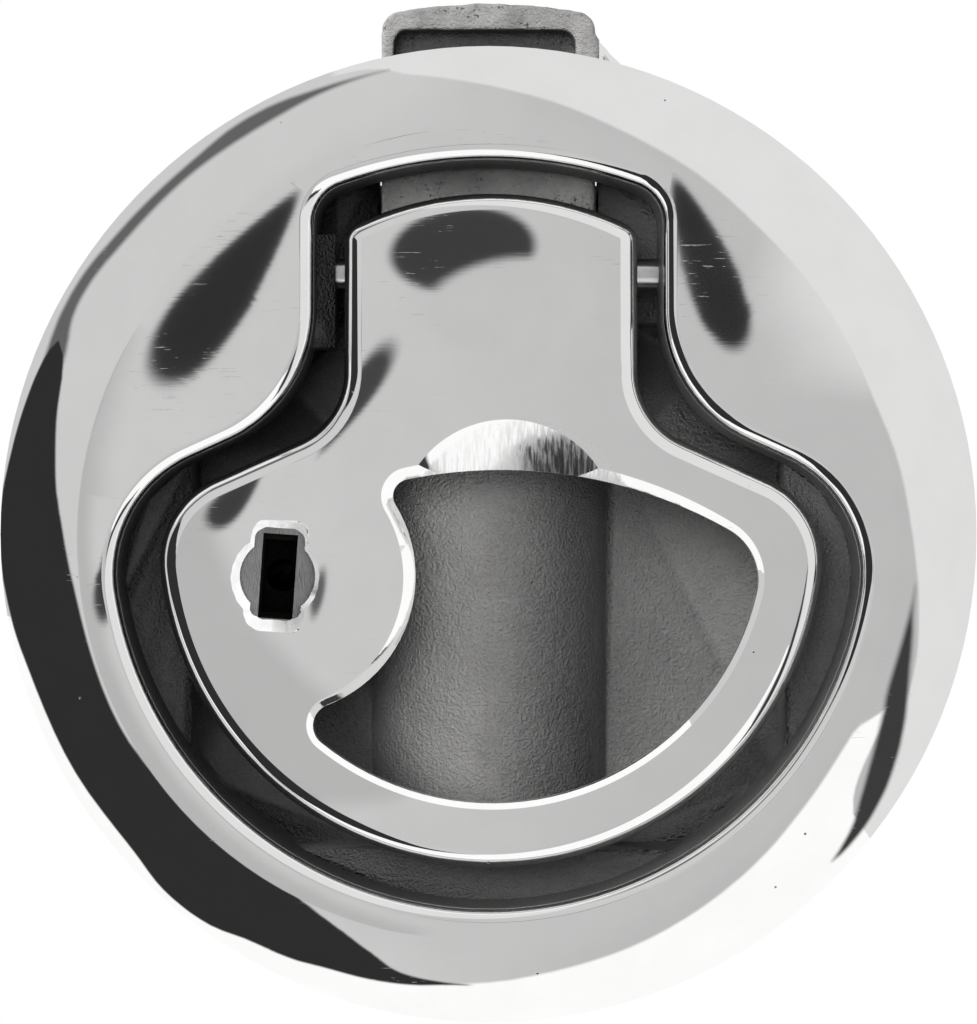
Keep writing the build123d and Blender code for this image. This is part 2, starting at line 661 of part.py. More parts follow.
def lock_plug():
    """Turning plug with its key slot, wafer slots, clip groove and square tang."""
    top = LOCK_FACE_Z - PLUG_RECESS
    body = post(PLUG_R, PLUG_END_Z, top, LOCK_AT)
    groove = post(PLUG_R + CUT, CLIP_Z, LOCK_BARREL_END_Z, LOCK_AT)
    body = body - (groove - post(CLIP_GROOVE_R, CLIP_Z, LOCK_BARREL_END_Z, LOCK_AT))
    tang = extrude(fillet(Rectangle(TANG, TANG).vertices(), TANG_CORNER), amount=CAM_T)
    body = body + Pos(LOCK_AT[0], LOCK_AT[1], CAM_Z) * tang
    turn = Pos(*LOCK_AT) * Rot(0, 0, KEYHOLE_TILT)
    slot = turn * Rectangle(*KEY_SLOT)
    body = body - raised(slot, top - KEY_SLOT_DEPTH, top + CUT)
    width, _, thick = WAFER
    for level in wafer_levels():
        seat = turn * Rectangle(width + 2 * WAFER_PLAY, 3 * PLUG_R)
        body = body - raised(seat, level, level + thick + 2 * WAFER_PLAY)
    return body - post(CAM_SCREW_R + SCREW_FIT, CAM_Z - CUT, CAM_Z + CAM_SCREW_DEPTH, LOCK_AT)


def lock_wafers():
    """Four wafers in the plug, each with a window for the key."""
    width, length, thick = WAFER
    turn = Pos(*LOCK_AT) * Rot(0, 0, KEYHOLE_TILT)
    wafers = []
    for number, level in enumerate(wafer_levels()):
        shift = WAFER_STEP * (number % 2) - WAFER_STEP / 2
        face = turn * (Rectangle(width, length) - Pos(0, shift) * Rectangle(*WAFER_WINDOW))
        wafers.append(raised(face, level + WAFER_PLAY, level + WAFER_PLAY + thick))
    return Compound(children=wafers)


def plug_clip():
    """Open ring that snaps into the plug's groove below the barrel."""
    ring = Circle(CLIP_R) - Circle(CLIP_GROOVE_R + CLIP_FIT)
    half = radians(CLIP_OPENING / 2)
    reach = 2 * CLIP_R * cos(half)
    spread = 2 * CLIP_R * sin(half)
    wedge = Polygon((0, 0), (reach, -spread), (reach, spread), align=None)
    face = Pos(*LOCK_AT) * (ring - wedge)
    return raised(face, CLIP_Z + CLIP_PLAY, LOCK_BARREL_END_Z - CLIP_PLAY)


def lock_cam():
    """Arm that turns under the shelf and through the keeper window in the box's left wall."""
    hub = Circle(CAM_HUB_R)
    arm = Pos(0, -CAM_REACH / 2) * Rectangle(CAM_WIDTH, CAM_REACH)
    arm = fillet(arm.vertices().group_by(Axis.Y)[0], CAM_END_R)
    face = hub + arm - Rectangle(TANG + 2 * TANG_FIT, TANG + 2 * TANG_FIT)
    return raised(Pos(*LOCK_AT) * face, CAM_Z, PLUG_END_Z)


def cam_washer():
    """Thin washer under the cam screw's head."""
    radius, _ = CAM_WASHER
    ring = post(radius, CAM_SEAT_Z, CAM_Z, LOCK_AT)
    return ring - post(CAM_SCREW_R + SCREW_HOLE_FIT, CAM_SEAT_Z - CUT, CAM_Z + CUT, LOCK_AT)


def cam_screw():
    """Screw that holds the cam on the plug's tang."""
    radius, height = CAM_SCREW_HEAD
    head = post(radius, CAM_SEAT_Z - height, CAM_SEAT_Z, LOCK_AT)
    head = fillet(head.edges().group_by(Axis.Z)[0], CAM_SCREW_ROUND)
    end = CAM_Z + CAM_SCREW_DEPTH - HOLE_END
    screw = head + post(CAM_SCREW_R, CAM_SEAT_Z, end, LOCK_AT)
    return screw - hex_drive(LOCK_AT, CAM_SEAT_Z - height, DRIVE_DEPTH)


def clamp_bracket():
    """Bridge of bent strip whose two legs press the lid against the flange."""
    outer = Rectangle(2 * CLAMP_HALF, 2 * FAR)
    inner = Rectangle(2 * (CLAMP_HALF - CLAMP_T), 2 * FAR)
    outer = fillet(outer.vertices().group_by(Axis.Y)[0], CLAMP_BEND)
    inner = fillet(inner.vertices().group_by(Axis.Y)[0], CLAMP_BEND - CLAMP_T)
    outer = Pos(0, CLAMP_BACK_Z + FAR) * outer
    inner = Pos(0, CLAMP_TOP_Z + FAR) * inner
    profile = (outer - inner) & Pos(0, -LID_ROOM - FAR) * Rectangle(4 * FAR, 2 * FAR)
    start = STUD_AT[1] + CLAMP_WIDTH / 2
    strip = Pos(0, start, 0) * extrude(Plane.XZ * profile, amount=CLAMP_WIDTH)
    for at in stud_places():
        strip = strip - post(CLAMP_HOLE_R, CLAMP_BACK_Z - CUT, CLAMP_TOP_Z + CUT, at)
    return strip


def clamp_studs():
    """Two studs that stand in the housing's bosses."""
    studs = []
    for at in stud_places():
        stud = post(STUD_R - SCREW_FIT, STUD_END_Z, BACK_Z + STUD_SEAT, at)
        studs.append(chamfer(stud.edges().filter_by(GeomType.CIRCLE), STUD_CHAMFER))
    return Compound(children=studs)


def clamp_washers():
    """One washer under each nut."""
    rings = []
    for at in stud_places():
        disc = post(WASHER_R, WASHER_Z, CLAMP_BACK_Z, at)
        rings.append(disc - post(CLAMP_HOLE_R, WASHER_Z - CUT, CLAMP_BACK_Z + CUT, at))
    return Compound(children=rings)


def clamp_nuts():
    """One hexagon nut on each stud, its corners turned off."""
    nuts = []
    corner = NUT_FLATS / sqrt(3)
    for at in stud_places():
        hexagon = extrude(RegularPolygon(corner, 6), amount=NUT_T)
        barrel = Cylinder(corner, NUT_T)
        barrel = chamfer(barrel.edges().group_by(Axis.Z)[0], NUT_CHAMFER)
        nut = Pos(at[0], at[1], NUT_Z) * hexagon
        nut = nut & Pos(at[0], at[1], NUT_Z + NUT_T / 2) * barrel
        nuts.append(nut - post(STUD_R, NUT_Z - CUT, WASHER_Z + CUT, at))
    return Compound(children=nuts)


NODES = {
    "housing": housing,
    "flange_seal": flange_seal,
    "pull_handle": pull_handle,
    "pivot_pin": pivot_pin,
    "handle_spring": handle_spring,
    "slam_bolt": slam_bolt,
    "bolt_spring": bolt_spring,
    "spring_guide_rod": spring_guide_rod,
    "rear_cover": rear_cover,
    "cover_screws": cover_screws,
    "lock_barrel": lock_barrel,
    "lock_plug": lock_plug,
    "lock_wafers": lock_wafers,
    "plug_clip": plug_clip,
    "lock_cam": lock_cam,
    "cam_washer": cam_washer,
    "cam_screw": cam_screw,
    "clamp_bracket": clamp_bracket,
    "clamp_studs": clamp_studs,
    "clamp_washers": clamp_washers,
    "clamp_nuts": clamp_nuts,
}


def main():
    """Build every node and write its file."""
    os.makedirs("parts", exist_ok=True)
    for name, make in NODES.items():
        shape = make()
        print(name, len(shape.solids()), round(shape.volume, 1), shape.is_valid)
        export_step(shape, "parts/" + name + ".step")


main()
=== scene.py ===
import logging
import math
from dataclasses import dataclass
from enum import Enum

import bpy
from mathutils import Euler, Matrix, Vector, kdtree


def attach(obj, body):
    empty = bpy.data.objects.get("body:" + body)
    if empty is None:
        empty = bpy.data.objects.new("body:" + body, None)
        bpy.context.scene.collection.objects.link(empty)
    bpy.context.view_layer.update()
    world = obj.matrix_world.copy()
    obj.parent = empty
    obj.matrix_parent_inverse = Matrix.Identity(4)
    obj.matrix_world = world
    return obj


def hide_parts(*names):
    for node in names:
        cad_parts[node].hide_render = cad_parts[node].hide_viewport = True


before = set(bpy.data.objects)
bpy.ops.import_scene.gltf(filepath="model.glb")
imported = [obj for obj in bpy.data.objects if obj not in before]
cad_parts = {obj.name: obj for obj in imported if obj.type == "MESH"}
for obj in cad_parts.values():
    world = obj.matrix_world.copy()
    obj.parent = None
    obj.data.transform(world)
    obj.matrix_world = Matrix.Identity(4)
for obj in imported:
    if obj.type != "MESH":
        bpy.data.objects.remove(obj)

LOG = logging.getLogger("hatch_latch")
MM = 0.001
OUTLINE_STEP = 0.03
CURTAIN_END = 1.44
CURVE_SWING = 3.0
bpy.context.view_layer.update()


class Look(Enum):
    """How the edges of a carried part are shaded."""

    ROUND = 32.0
    CRISP = 22.0
    CAST = 42.0


# Node sketches


class Sketch:
    """A node tree that is written down one node at a time."""

    def __init__(self, tree: bpy.types.NodeTree) -> None:
        """Start from an empty tree."""
        tree.nodes.clear()
        self.tree = tree

    def add(self, kind: str, sockets: dict | None = None, **settings: object) -> bpy.types.Node:
        """Add a node, set its options and fill or link its inputs.

        Args:
            kind: the node's type name.
            sockets: values or sockets for its inputs, by name or number.
            settings: the node's own options.

        Returns:
            The new node.
        """
        node = self.tree.nodes.new(kind)
        for name, value in settings.items():
            setattr(node, name, value)
        for key, value in (sockets or {}).items():
            if isinstance(value, bpy.types.NodeSocket):
                self.tree.links.new(value, node.inputs[key])
            else:
                node.inputs[key].default_value = value
        return node

    def math(self, operation: str, *values: object) -> bpy.types.NodeSocket:
        """Work out a number from sockets or constants and return its socket."""
        inputs = dict(enumerate(values))
        return self.add("ShaderNodeMath", inputs, operation=operation).outputs[0]

    def ramp(self, value: object, low: float, high: float, start: float = 0.0,
             end: float = 1.0) -> bpy.types.NodeSocket:
        """Map low..high to start..end with soft ends.

        Args:
            value: the socket that is mapped.
            low: where the change begins.
            high: where it ends.
            start: the result at and before low.
            end: the result at and past high.

        Returns:
            The socket of the mapped value.
        """
        node = self.add(
            "ShaderNodeMapRange",
            {"Value": value, "From Min": low, "From Max": high, "To Min": start, "To Max": end},
            interpolation_type="SMOOTHSTEP",
        )
        return node.outputs["Result"]

    def blend(self, share: object, first: object, second: object) -> bpy.types.NodeSocket:
        """Mix two colours by a share and return the colour's socket."""
        node = self.add("ShaderNodeMix", data_type="RGBA")
        for socket, value in zip((node.inputs[0], node.inputs[6], node.inputs[7]), (share, first, second)):
            if isinstance(value, bpy.types.NodeSocket):
                self.tree.links.new(value, socket)
            else:
                socket.default_value = value
        return node.outputs[2]

    def millimetres(self, stretch: tuple[float, float, float] = (1, 1, 1),
                    turn: float = 0.0) -> bpy.types.NodeSocket:
        """Object coordinates in millimetres, stretched and turned about Z."""
        place = self.add("ShaderNodeTexCoord").outputs["Object"]
        size = tuple(factor / MM for factor in stretch)
        node = self.add(
            "ShaderNodeMapping",
            {"Vector": place, "Rotation": (0, 0, math.radians(turn)), "Scale": size},
        )
        return node.outputs["Vector"]

    def noise(self, vector: object, scale: float, detail: float = 2.0,
              rough: float = 0.5) -> bpy.types.NodeSocket:
        """Noise, about 0 to 1, with scale features per millimetre and detail finer layers."""
        node = self.add(
            "ShaderNodeTexNoise",
            {"Vector": vector, "Scale": scale, "Detail": detail, "Roughness": rough},
        )
        return node.outputs[0]

    def cells(self, vector: object, scale: float) -> bpy.types.NodeSocket:
        """Distance from the middle of cells of a given scale per millimetre."""
        return self.add("ShaderNodeTexVoronoi", {"Vector": vector, "Scale": scale}).outputs["Distance"]

    def bump(self, height: object, depth: float, under: object = None) -> bpy.types.NodeSocket:
        """Turn a height of 0 to 1, depth millimetres high, into a normal over the one under it."""
        sockets = {"Height": height, "Distance": depth * MM, "Strength": 1.0}
        if under is not None:
            sockets["Normal"] = under
        return self.add("ShaderNodeBump", sockets).outputs["Normal"]

    def parts(self, vector: object) -> bpy.types.bpy_prop_collection:
        """Take a vector apart into its X, Y and Z sockets."""
        return self.add("ShaderNodeSeparateXYZ", {0: vector}).outputs

    def flat(self, x: object, y: object) -> bpy.types.NodeSocket:
        """Join X and Y to a vector without height."""
        return self.add("ShaderNodeCombineXYZ", {"X": x, "Y": y}).outputs[0]

    def length(self, vector: object) -> bpy.types.NodeSocket:
        """Length of a vector."""
        return self.add("ShaderNodeVectorMath", {0: vector}, operation="LENGTH").outputs["Value"]

    def distance(self, vector: object, place: tuple[float, float, float]) -> bpy.types.NodeSocket:
        """Distance of a vector from a fixed place."""
        return self.add("ShaderNodeVectorMath", {0: vector, 1: place}, operation="DISTANCE").outputs["Value"]

    def scaled(self, vector: object, factor: object) -> bpy.types.NodeSocket:
        """A vector times a number."""
        return self.add("ShaderNodeVectorMath", {0: vector, "Scale": factor}, operation="SCALE").outputs[0]

    def either(self, share: object, first: object, second: object) -> bpy.types.NodeSocket:
        """Mix two shaders by a share."""
        return self.add("ShaderNodeMixShader", {0: share, 1: first, 2: second}).outputs[0]

    def surface(self, **sockets: object) -> None:
        """Close the tree with one principled shader."""
        names = {name.replace("_", " ").title(): value for name, value in sockets.items()}
        shader = self.add("ShaderNodeBsdfPrincipled", names)
        self.add("ShaderNodeOutputMaterial", {"Surface": shader.outputs[0]})


def grey(level: float, warmth: float = 0.0) -> tuple[float, float, float, float]:
    """A grey colour, a little warmer or colder."""
    return (level * (1 + warmth), level, level * (1 - warmth), 1.0)


# Finishes


@dataclass(frozen=True)
class PolishedCasting:
    """Cast stainless steel, polished where it shows and left as cast elsewhere."""

    name: str
    polish_z: float
    edge_r: float = 0.0
    mirror: float = 0.9
    gloss: float = 0.02
    wave: float = 0.004
    cast_light: float = 0.34
    cast_dark: float = 0.3
    cast_metal: float = 0.35
    crust: float = 0.42
    # Centre and radius past which the cast skin gets painted shade.
    channel_shade: tuple[float, float, float] | None = None
    # Gain of the painted light on cast skin that faces left.
    painted_light_and_shade: float = 1.5
    brushed: tuple[float, float, float] | None = None
    # Height below which the cast skin gets painted shade.
    pocket_z: float | None = None
    clean_x: float | None = None

    def polished_share(self, pen: Sketch, place: object) -> bpy.types.NodeSocket:
        """Where the buffing wheel reached: 1 on the face, 0 in the rough.

        Args:
            pen: the sketch of this material.
            place: coordinates in millimetres.

        Returns:
            The socket of the share.
        """
        parts = pen.parts(place)
        ragged = pen.math("MULTIPLY", pen.math("SUBTRACT", pen.noise(place, 0.5, 2.0), 0.5), 0.5)
        height = pen.math("ADD", parts["Z"], ragged)
        share = pen.ramp(height, self.polish_z - 0.35, self.polish_z + 0.35)
        if self.edge_r:
            radius = pen.length(pen.flat(parts["X"], parts["Y"]))
            rim = pen.math("MULTIPLY", pen.ramp(radius, self.edge_r - 0.1, self.edge_r + 0.1),
                           pen.ramp(parts["Z"], 0.02, 0.12))
            share = pen.math("MAXIMUM", share, rim)
        if self.clean_x is not None:
            cut = pen.ramp(parts["X"], self.clean_x - 0.1, self.clean_x + 0.1)
            share = pen.math("MAXIMUM", share, cut)
        return share

    def cast_colour(self, pen: Sketch, place: object, blotch: object) -> bpy.types.NodeSocket:
        """Colour of the rough skin, with painted light where it faces left, painted shade in the deep channel
        away from the finger hole and below the pocket line, and dark spots.

        Args:
            pen: the sketch of this material.
            place: coordinates in millimetres.
            blotch: noise of large stains.

        Returns:
            The socket of the colour.
        """
        dark, light = grey(self.cast_dark, 0.012), grey(self.cast_light, 0.012)
        cast = pen.blend(pen.ramp(blotch, 0.34, 0.66), dark, light)
        parts = pen.parts(place)
        # Painted light: the skin's colour is raised where its normal faces left and lowered where it faces
        # right, as if lit from the left.
        facing = pen.parts(pen.add("ShaderNodeTexCoord").outputs["Normal"])["X"]
        painted_light_and_shade = pen.ramp(facing, -0.75, 0.85, self.painted_light_and_shade, 0.42)
        # Painted shade: the skin darkens away from the finger hole, where the deep channel round the handle
        # lies in shade.
        if self.channel_shade:
            x, y, radius = self.channel_shade
            away = pen.distance(pen.flat(parts["X"], parts["Y"]), (x, y, 0))
            away = pen.math("ADD", away, pen.math("MULTIPLY", blotch, 4.0))
            painted_light_and_shade = pen.math("MULTIPLY", painted_light_and_shade, pen.ramp(away, radius, radius + 6.0, 1.0, 0.4))
        if self.pocket_z is not None:
            # Painted shade: the skin darkens below pocket_z, down in the bolt's pocket. Dark spots are laid
            # over the skin as well.
            shade = pen.ramp(parts["Z"], self.pocket_z - 0.4, self.pocket_z, 0.32, 1.0)
            painted_light_and_shade = pen.math("MULTIPLY", painted_light_and_shade, shade)
            holes = pen.math("MULTIPLY", pen.ramp(pen.noise(place, 3.4, 3.0, 0.7), 0.55, 0.64),
                             pen.ramp(pen.noise(place, 0.32, 1.0), 0.5, 0.6))
            painted_light_and_shade = pen.math("MULTIPLY", painted_light_and_shade, pen.ramp(holes, 0.0, 1.0, 1.0, 0.3))
        return pen.scaled(cast, painted_light_and_shade)

    def buffed(self, pen: Sketch, place: object, lines: object, patch: object,
               pits: object) -> bpy.types.NodeSocket:
        """Roughness of the polished metal, duller in scratches, pits and the brushed scoop.

        Args:
            pen: the sketch of this material.
            place: coordinates in millimetres.
            lines: share of the scratches.
            patch: where the metal is a little hazy.
            pits: share of the small pits.

        Returns:
            The socket of the roughness.
        """
        dull = pen.math("ADD", self.gloss, pen.math("MULTIPLY", lines, 0.16))
        dull = pen.math("ADD", dull, pen.math("MULTIPLY", patch, 0.006))
        dull = pen.math("ADD", dull, pen.math("MULTIPLY", pits, 0.4))
        if self.brushed:
            x, y, radius = self.brushed
            inside = pen.ramp(pen.distance(place, (x, y, 4.0)), radius - 0.6, radius, 1.0, 0.0)
            hand = pen.noise(pen.millimetres((5.0, 0.5, 1.0), 12.0), 1.0, 2.0, 0.5)
            strokes = pen.ramp(hand, 0.3, 0.7, 0.1, 0.34)
            dull = pen.math("ADD", dull, pen.math("MULTIPLY", inside, strokes))
        return dull

    def material(self) -> bpy.types.Material:
        """Build the material."""
        material = bpy.data.materials.new(self.name)
        material.use_nodes = True
        pen = Sketch(material.node_tree)
        place = pen.millimetres()
        share = self.polished_share(pen, place)
        grain = pen.noise(place, 4.2, 2.0, 0.65)
        lumps = pen.noise(place, 1.5, 2.0, 0.5)
        blotch = pen.noise(place, 0.2, 4.0, 0.6)
        fine = pen.noise(pen.millimetres((0.35, 9.0, 1.0), 28.0), 1.0, 3.0, 0.6)
        cross = pen.noise(pen.millimetres((0.3, 7.0, 1.0), -47.0), 1.0, 3.0, 0.6)
        lines = pen.math("MAXIMUM", pen.ramp(fine, 0.66, 0.74), pen.ramp(cross, 0.68, 0.76))
        patch = pen.ramp(pen.noise(place, 0.16, 2.0), 0.45, 0.7)
        lines = pen.math("MULTIPLY", lines, patch)
        pits = pen.ramp(pen.cells(place, 0.33), 0.02, 0.04, 1.0, 0.0)
        pits = pen.math("MULTIPLY", pits, pen.ramp(pen.noise(place, 0.12, 1.0), 0.5, 0.6))
        stained, clean = grey(self.mirror * 0.97, 0.004), grey(self.mirror, 0.004)
        tint = pen.blend(pen.ramp(blotch, 0.3, 0.7), stained, clean)
        colour = pen.blend(share, self.cast_colour(pen, place, blotch), pen.blend(pits, tint, grey(0.12)))
        rough = pen.ramp(grain, 0.25, 0.8, 0.55, 0.36)
        dull = self.buffed(pen, place, lines, patch, pits)
        roughness = pen.add("ShaderNodeMix", {0: share, 2: rough, 3: dull}).outputs[0]
        metal = pen.ramp(share, 0.0, 1.0, self.cast_metal, 1.0)
        combed = pen.noise(pen.millimetres((0.25, 5.0, 1.0), 32.0), 1.0, 2.0, 0.5)
        skin = pen.bump(pen.noise(place, 0.06, 1.0), self.wave)
        skin = pen.bump(combed, 0.0001, skin)
        skin = pen.bump(pen.math("MULTIPLY", lines, -1.0), 0.0006, skin)
        skin = pen.bump(pen.math("MULTIPLY", pits, -1.0), 0.02, skin)
        crust = pen.math("ADD", grain, pen.math("MULTIPLY", lumps, 0.5))
        hollow = pen.math("MULTIPLY", crust, pen.math("SUBTRACT", 1.0, share))
        normal = pen.bump(hollow, self.crust, skin)
        pen.surface(base_color=colour, metallic=metal, roughness=roughness, normal=normal)
        return material


@dataclass(frozen=True)
class PlainMetal:
    """Machined, drawn or rolled metal with fine tool lines."""

    name: str
    colour: tuple[float, float, float, float]
    roughness: float
    lines: tuple[float, float, float] = (1.0, 14.0, 1.0)
    depth: float = 0.004
    spread: float = 0.1
    # Height under which the colour is painted near black as shade.
    painted_shade_below: float | None = None

    def material(self) -> bpy.types.Material:
        """Build the material."""
        material = bpy.data.materials.new(self.name)
        material.use_nodes = True
        pen = Sketch(material.node_tree)
        place = pen.millimetres()
        stain = pen.noise(place, 0.35, 4.0, 0.6)
        tool = pen.noise(pen.millimetres(self.lines), 1.0, 3.0, 0.6)
        dull = tuple(channel * 0.78 for channel in self.colour[:3]) + (1.0,)
        colour = pen.blend(pen.ramp(stain, 0.3, 0.7), dull, self.colour)
        wear = pen.math("ADD", self.roughness, pen.math("MULTIPLY", pen.ramp(tool, 0.3, 0.75), self.spread))
        # Painted shade: under the given height the colour goes near black, for the shade down inside the
        # keyhole slot.
        if self.painted_shade_below is not None:
            slot_shade = pen.ramp(pen.parts(place)["Z"], self.painted_shade_below - 0.3, self.painted_shade_below, 1.0, 0.0)
            colour = pen.blend(slot_shade, colour, grey(0.012))
        normal = pen.bump(tool, self.depth)
        pen.surface(base_color=colour, metallic=1.0, roughness=wear, normal=normal)
        return material


@dataclass(frozen=True)
class MouldedRubber:
    """Black moulded rubber with a dusty bloom."""

    name: str
    level: float = 0.02

    def material(self) -> bpy.types.Material:
        """Build the material."""
        material = bpy.data.materials.new(self.name)
        material.use_nodes = True
        pen = Sketch(material.node_tree)
        place = pen.millimetres()
        dust = pen.ramp(pen.noise(place, 0.4, 5.0, 0.65), 0.45, 0.8)
        skin = pen.noise(place, 5.0, 3.0)
        colour = pen.blend(dust, grey(self.level), grey(self.level * 3.5))
        rough = pen.ramp(skin, 0.2, 0.8, 0.6, 0.8)
        pen.surface(base_color=colour, metallic=0.0, roughness=rough, normal=pen.bump(skin, 0.02))
        return material


# Outlines


@dataclass(frozen=True)
class Bell:
    """The bell-shaped outline that the recess and the handle share, in millimetres."""

    neck: tuple[float, float]
    top_y: float
    top_r: float
    top_corner: float
    shoulder_y: float
    shoulder_deg: float
    hollow_r: float
    lobe_r: float
    lobe_corner: float
    shift: float = 0.0

    def arc(self, middle: Vector, radius: float, start: Vector, end: Vector,
            bulge: int) -> list[tuple[Vector, Vector]]:
        """Points and outward normals along an arc, counter-clockwise about the outline.

        Args:
            middle: the arc's centre.
            radius: its radius.
            start: its first point.
            end: its last point.
            bulge: 1 where the outline is convex, -1 where it is hollow.

        Returns:
            Pairs of point and outward normal.
        """
        first = math.atan2(start.y - middle.y, start.x - middle.x)
        last = math.atan2(end.y - middle.y, end.x - middle.x)
        sweep = (last - first) * bulge % (2 * math.pi) * bulge
        count = max(4, int(abs(sweep) * radius / OUTLINE_STEP))
        found = []
        for i in range(count):
            angle = first + sweep * i / count
            ray = Vector((math.cos(angle), math.sin(angle)))
            found.append((middle + ray * radius, ray * bulge))
        return found

    def side(self, half: float) -> list[tuple[Vector, float, Vector, Vector, int]]:
        """Arcs of the right half from the lobe to the top, for a neck that ends at half.

        Args:
            half: where the neck's side stands.

        Returns:
            Centre, radius, first and last point and bulge of each arc.
        """
        lean = math.radians(self.shoulder_deg)
        up = Vector((math.sin(lean), math.cos(lean)))
        along = Vector((math.cos(lean), -math.sin(lean)))
        level = up.dot(Vector((half, self.shoulder_y)))
        reach = self.lobe_r - self.lobe_corner
        height = level - self.lobe_corner
        corner = up * height + along * math.sqrt(reach**2 - height**2)
        hollow_x = half + self.hollow_r
        hollow = Vector((hollow_x, (level + self.hollow_r - up.x * hollow_x) / up.y))
        side = 1 if half == self.neck[1] else -1
        crown = Vector((sum(self.neck) / 2 * side, self.top_y - self.top_r))
        tip_x = half - self.top_corner
        rest = math.sqrt((self.top_r - self.top_corner) ** 2 - (tip_x - crown.x) ** 2)
        tip = Vector((tip_x, crown.y + rest))
        top_start = crown + (tip - crown).normalized() * self.top_r
        return [
            (Vector((0, 0)), self.lobe_r, Vector((0, -self.lobe_r)), corner.normalized() * self.lobe_r, 1),
            (corner, self.lobe_corner, corner.normalized() * self.lobe_r, corner + up * self.lobe_corner, 1),
            (hollow, self.hollow_r, hollow - up * self.hollow_r, Vector((half, hollow.y)), -1),
            (tip, self.top_corner, Vector((half, tip.y)), top_start, 1),
            (crown, self.top_r, top_start, crown + Vector((0, self.top_r)), 1),
        ]

    def points(self) -> list[tuple[Vector, Vector]]:
        """Dense points and outward normals round the whole outline."""
        found = []
        for half, flip in ((self.neck[1], 1), (-self.neck[0], -1)):
            arcs = self.side(half)
            for number, item in enumerate(arcs):
                run = self.arc(*item)
                if number + 1 < len(arcs):
                    gap_end = arcs[number + 1][2]
                    gap_start = item[3]
                    gap = (gap_end - gap_start).length
                    steps = int(gap / OUTLINE_STEP)
                    normal = run[-1][1]
                    run += [(gap_start.lerp(gap_end, i / steps), normal) for i in range(steps)]
                for point, normal in run:
                    found.append((
                        Vector((point.x * flip + self.shift, point.y)),
                        Vector((normal.x * flip, normal.y)),
                    ))
        return found


class Nearest:
    """Signed distance to an outline, in millimetres."""

    def __init__(self, samples: list[tuple[Vector, Vector]]) -> None:
        self.samples = samples
        self.tree = kdtree.KDTree(len(samples))
        for number, (point, _) in enumerate(samples):
            self.tree.insert((point.x, point.y, 0), number)
        self.tree.balance()

    def outside(self, place: Vector) -> tuple[float, Vector]:
        """How far outside the outline a place is, and the outline's normal there.

        Args:
            place: the place, of which x and y are read.

        Returns:
            Distance, negative inside, and outward normal.
        """
        _, number, _ = self.tree.find((place.x, place.y, 0))
        point, normal = self.samples[number]
        return (Vector((place.x, place.y)) - point).dot(normal), normal


# Pieces


def deselect() -> None:
    """Leave nothing selected."""
    bpy.ops.object.select_all(action="DESELECT")


def focus(piece: bpy.types.Object) -> None:
    """Select one piece and make it the active one."""
    deselect()
    piece.hide_set(False)
    piece.select_set(True)
    bpy.context.view_layer.objects.active = piece


@dataclass
class CarriedPart:
    """A CAD node's copy with its points merged, its edges shaded and a finish of its own."""

    node: str
    body: str
    finish: bpy.types.Material
    look: Look = Look.ROUND
    bevel: float = 0.0

    def mesh(self) -> bpy.types.Object:
        """Copy the node and merge its loose triangles."""
        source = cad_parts[self.node]
        piece = source.copy()
        piece.data = source.data.copy()
        piece.name = self.node + "_finished"
        piece.parent = None
        bpy.context.scene.collection.objects.link(piece)
        for key in list(piece.keys()):
            if key.startswith("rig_"):
                del piece[key]
        focus(piece)
        bpy.ops.object.mode_set(mode="EDIT")
        bpy.ops.mesh.select_all(action="SELECT")
        bpy.ops.mesh.remove_doubles(threshold=0.002 * MM)
        if self.bevel:
            bpy.ops.mesh.dissolve_limited(angle_limit=math.radians(0.6))
        bpy.ops.object.mode_set(mode="OBJECT")
        if self.bevel:
            edge = piece.modifiers.new("edge", "BEVEL")
            edge.width = self.bevel * MM
            edge.segments = 2
            edge.limit_method = "ANGLE"
            edge.angle_limit = math.radians(38)
            edge.harden_normals = False
            bpy.ops.object.modifier_apply(modifier="edge")
        bpy.ops.object.shade_smooth_by_angle(angle=math.radians(self.look.value))
        weigh = piece.modifiers.new("weigh", "WEIGHTED_NORMAL")
        weigh.keep_sharp = True
        bpy.ops.object.modifier_apply(modifier="weigh")
        return piece

    def dress(self, piece: bpy.types.Object) -> bpy.types.Object:
        """Give the piece its finish and its body."""
        piece.data.materials.clear()
        piece.data.materials.append(self.finish)
        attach(piece, self.body)
        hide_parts(self.node)
        LOG.info("%s: %d faces", piece.name, len(piece.data.polygons))
        return piece

    def build(self) -> bpy.types.Object:
        """Make and dress the piece."""
        return self.dress(self.mesh())


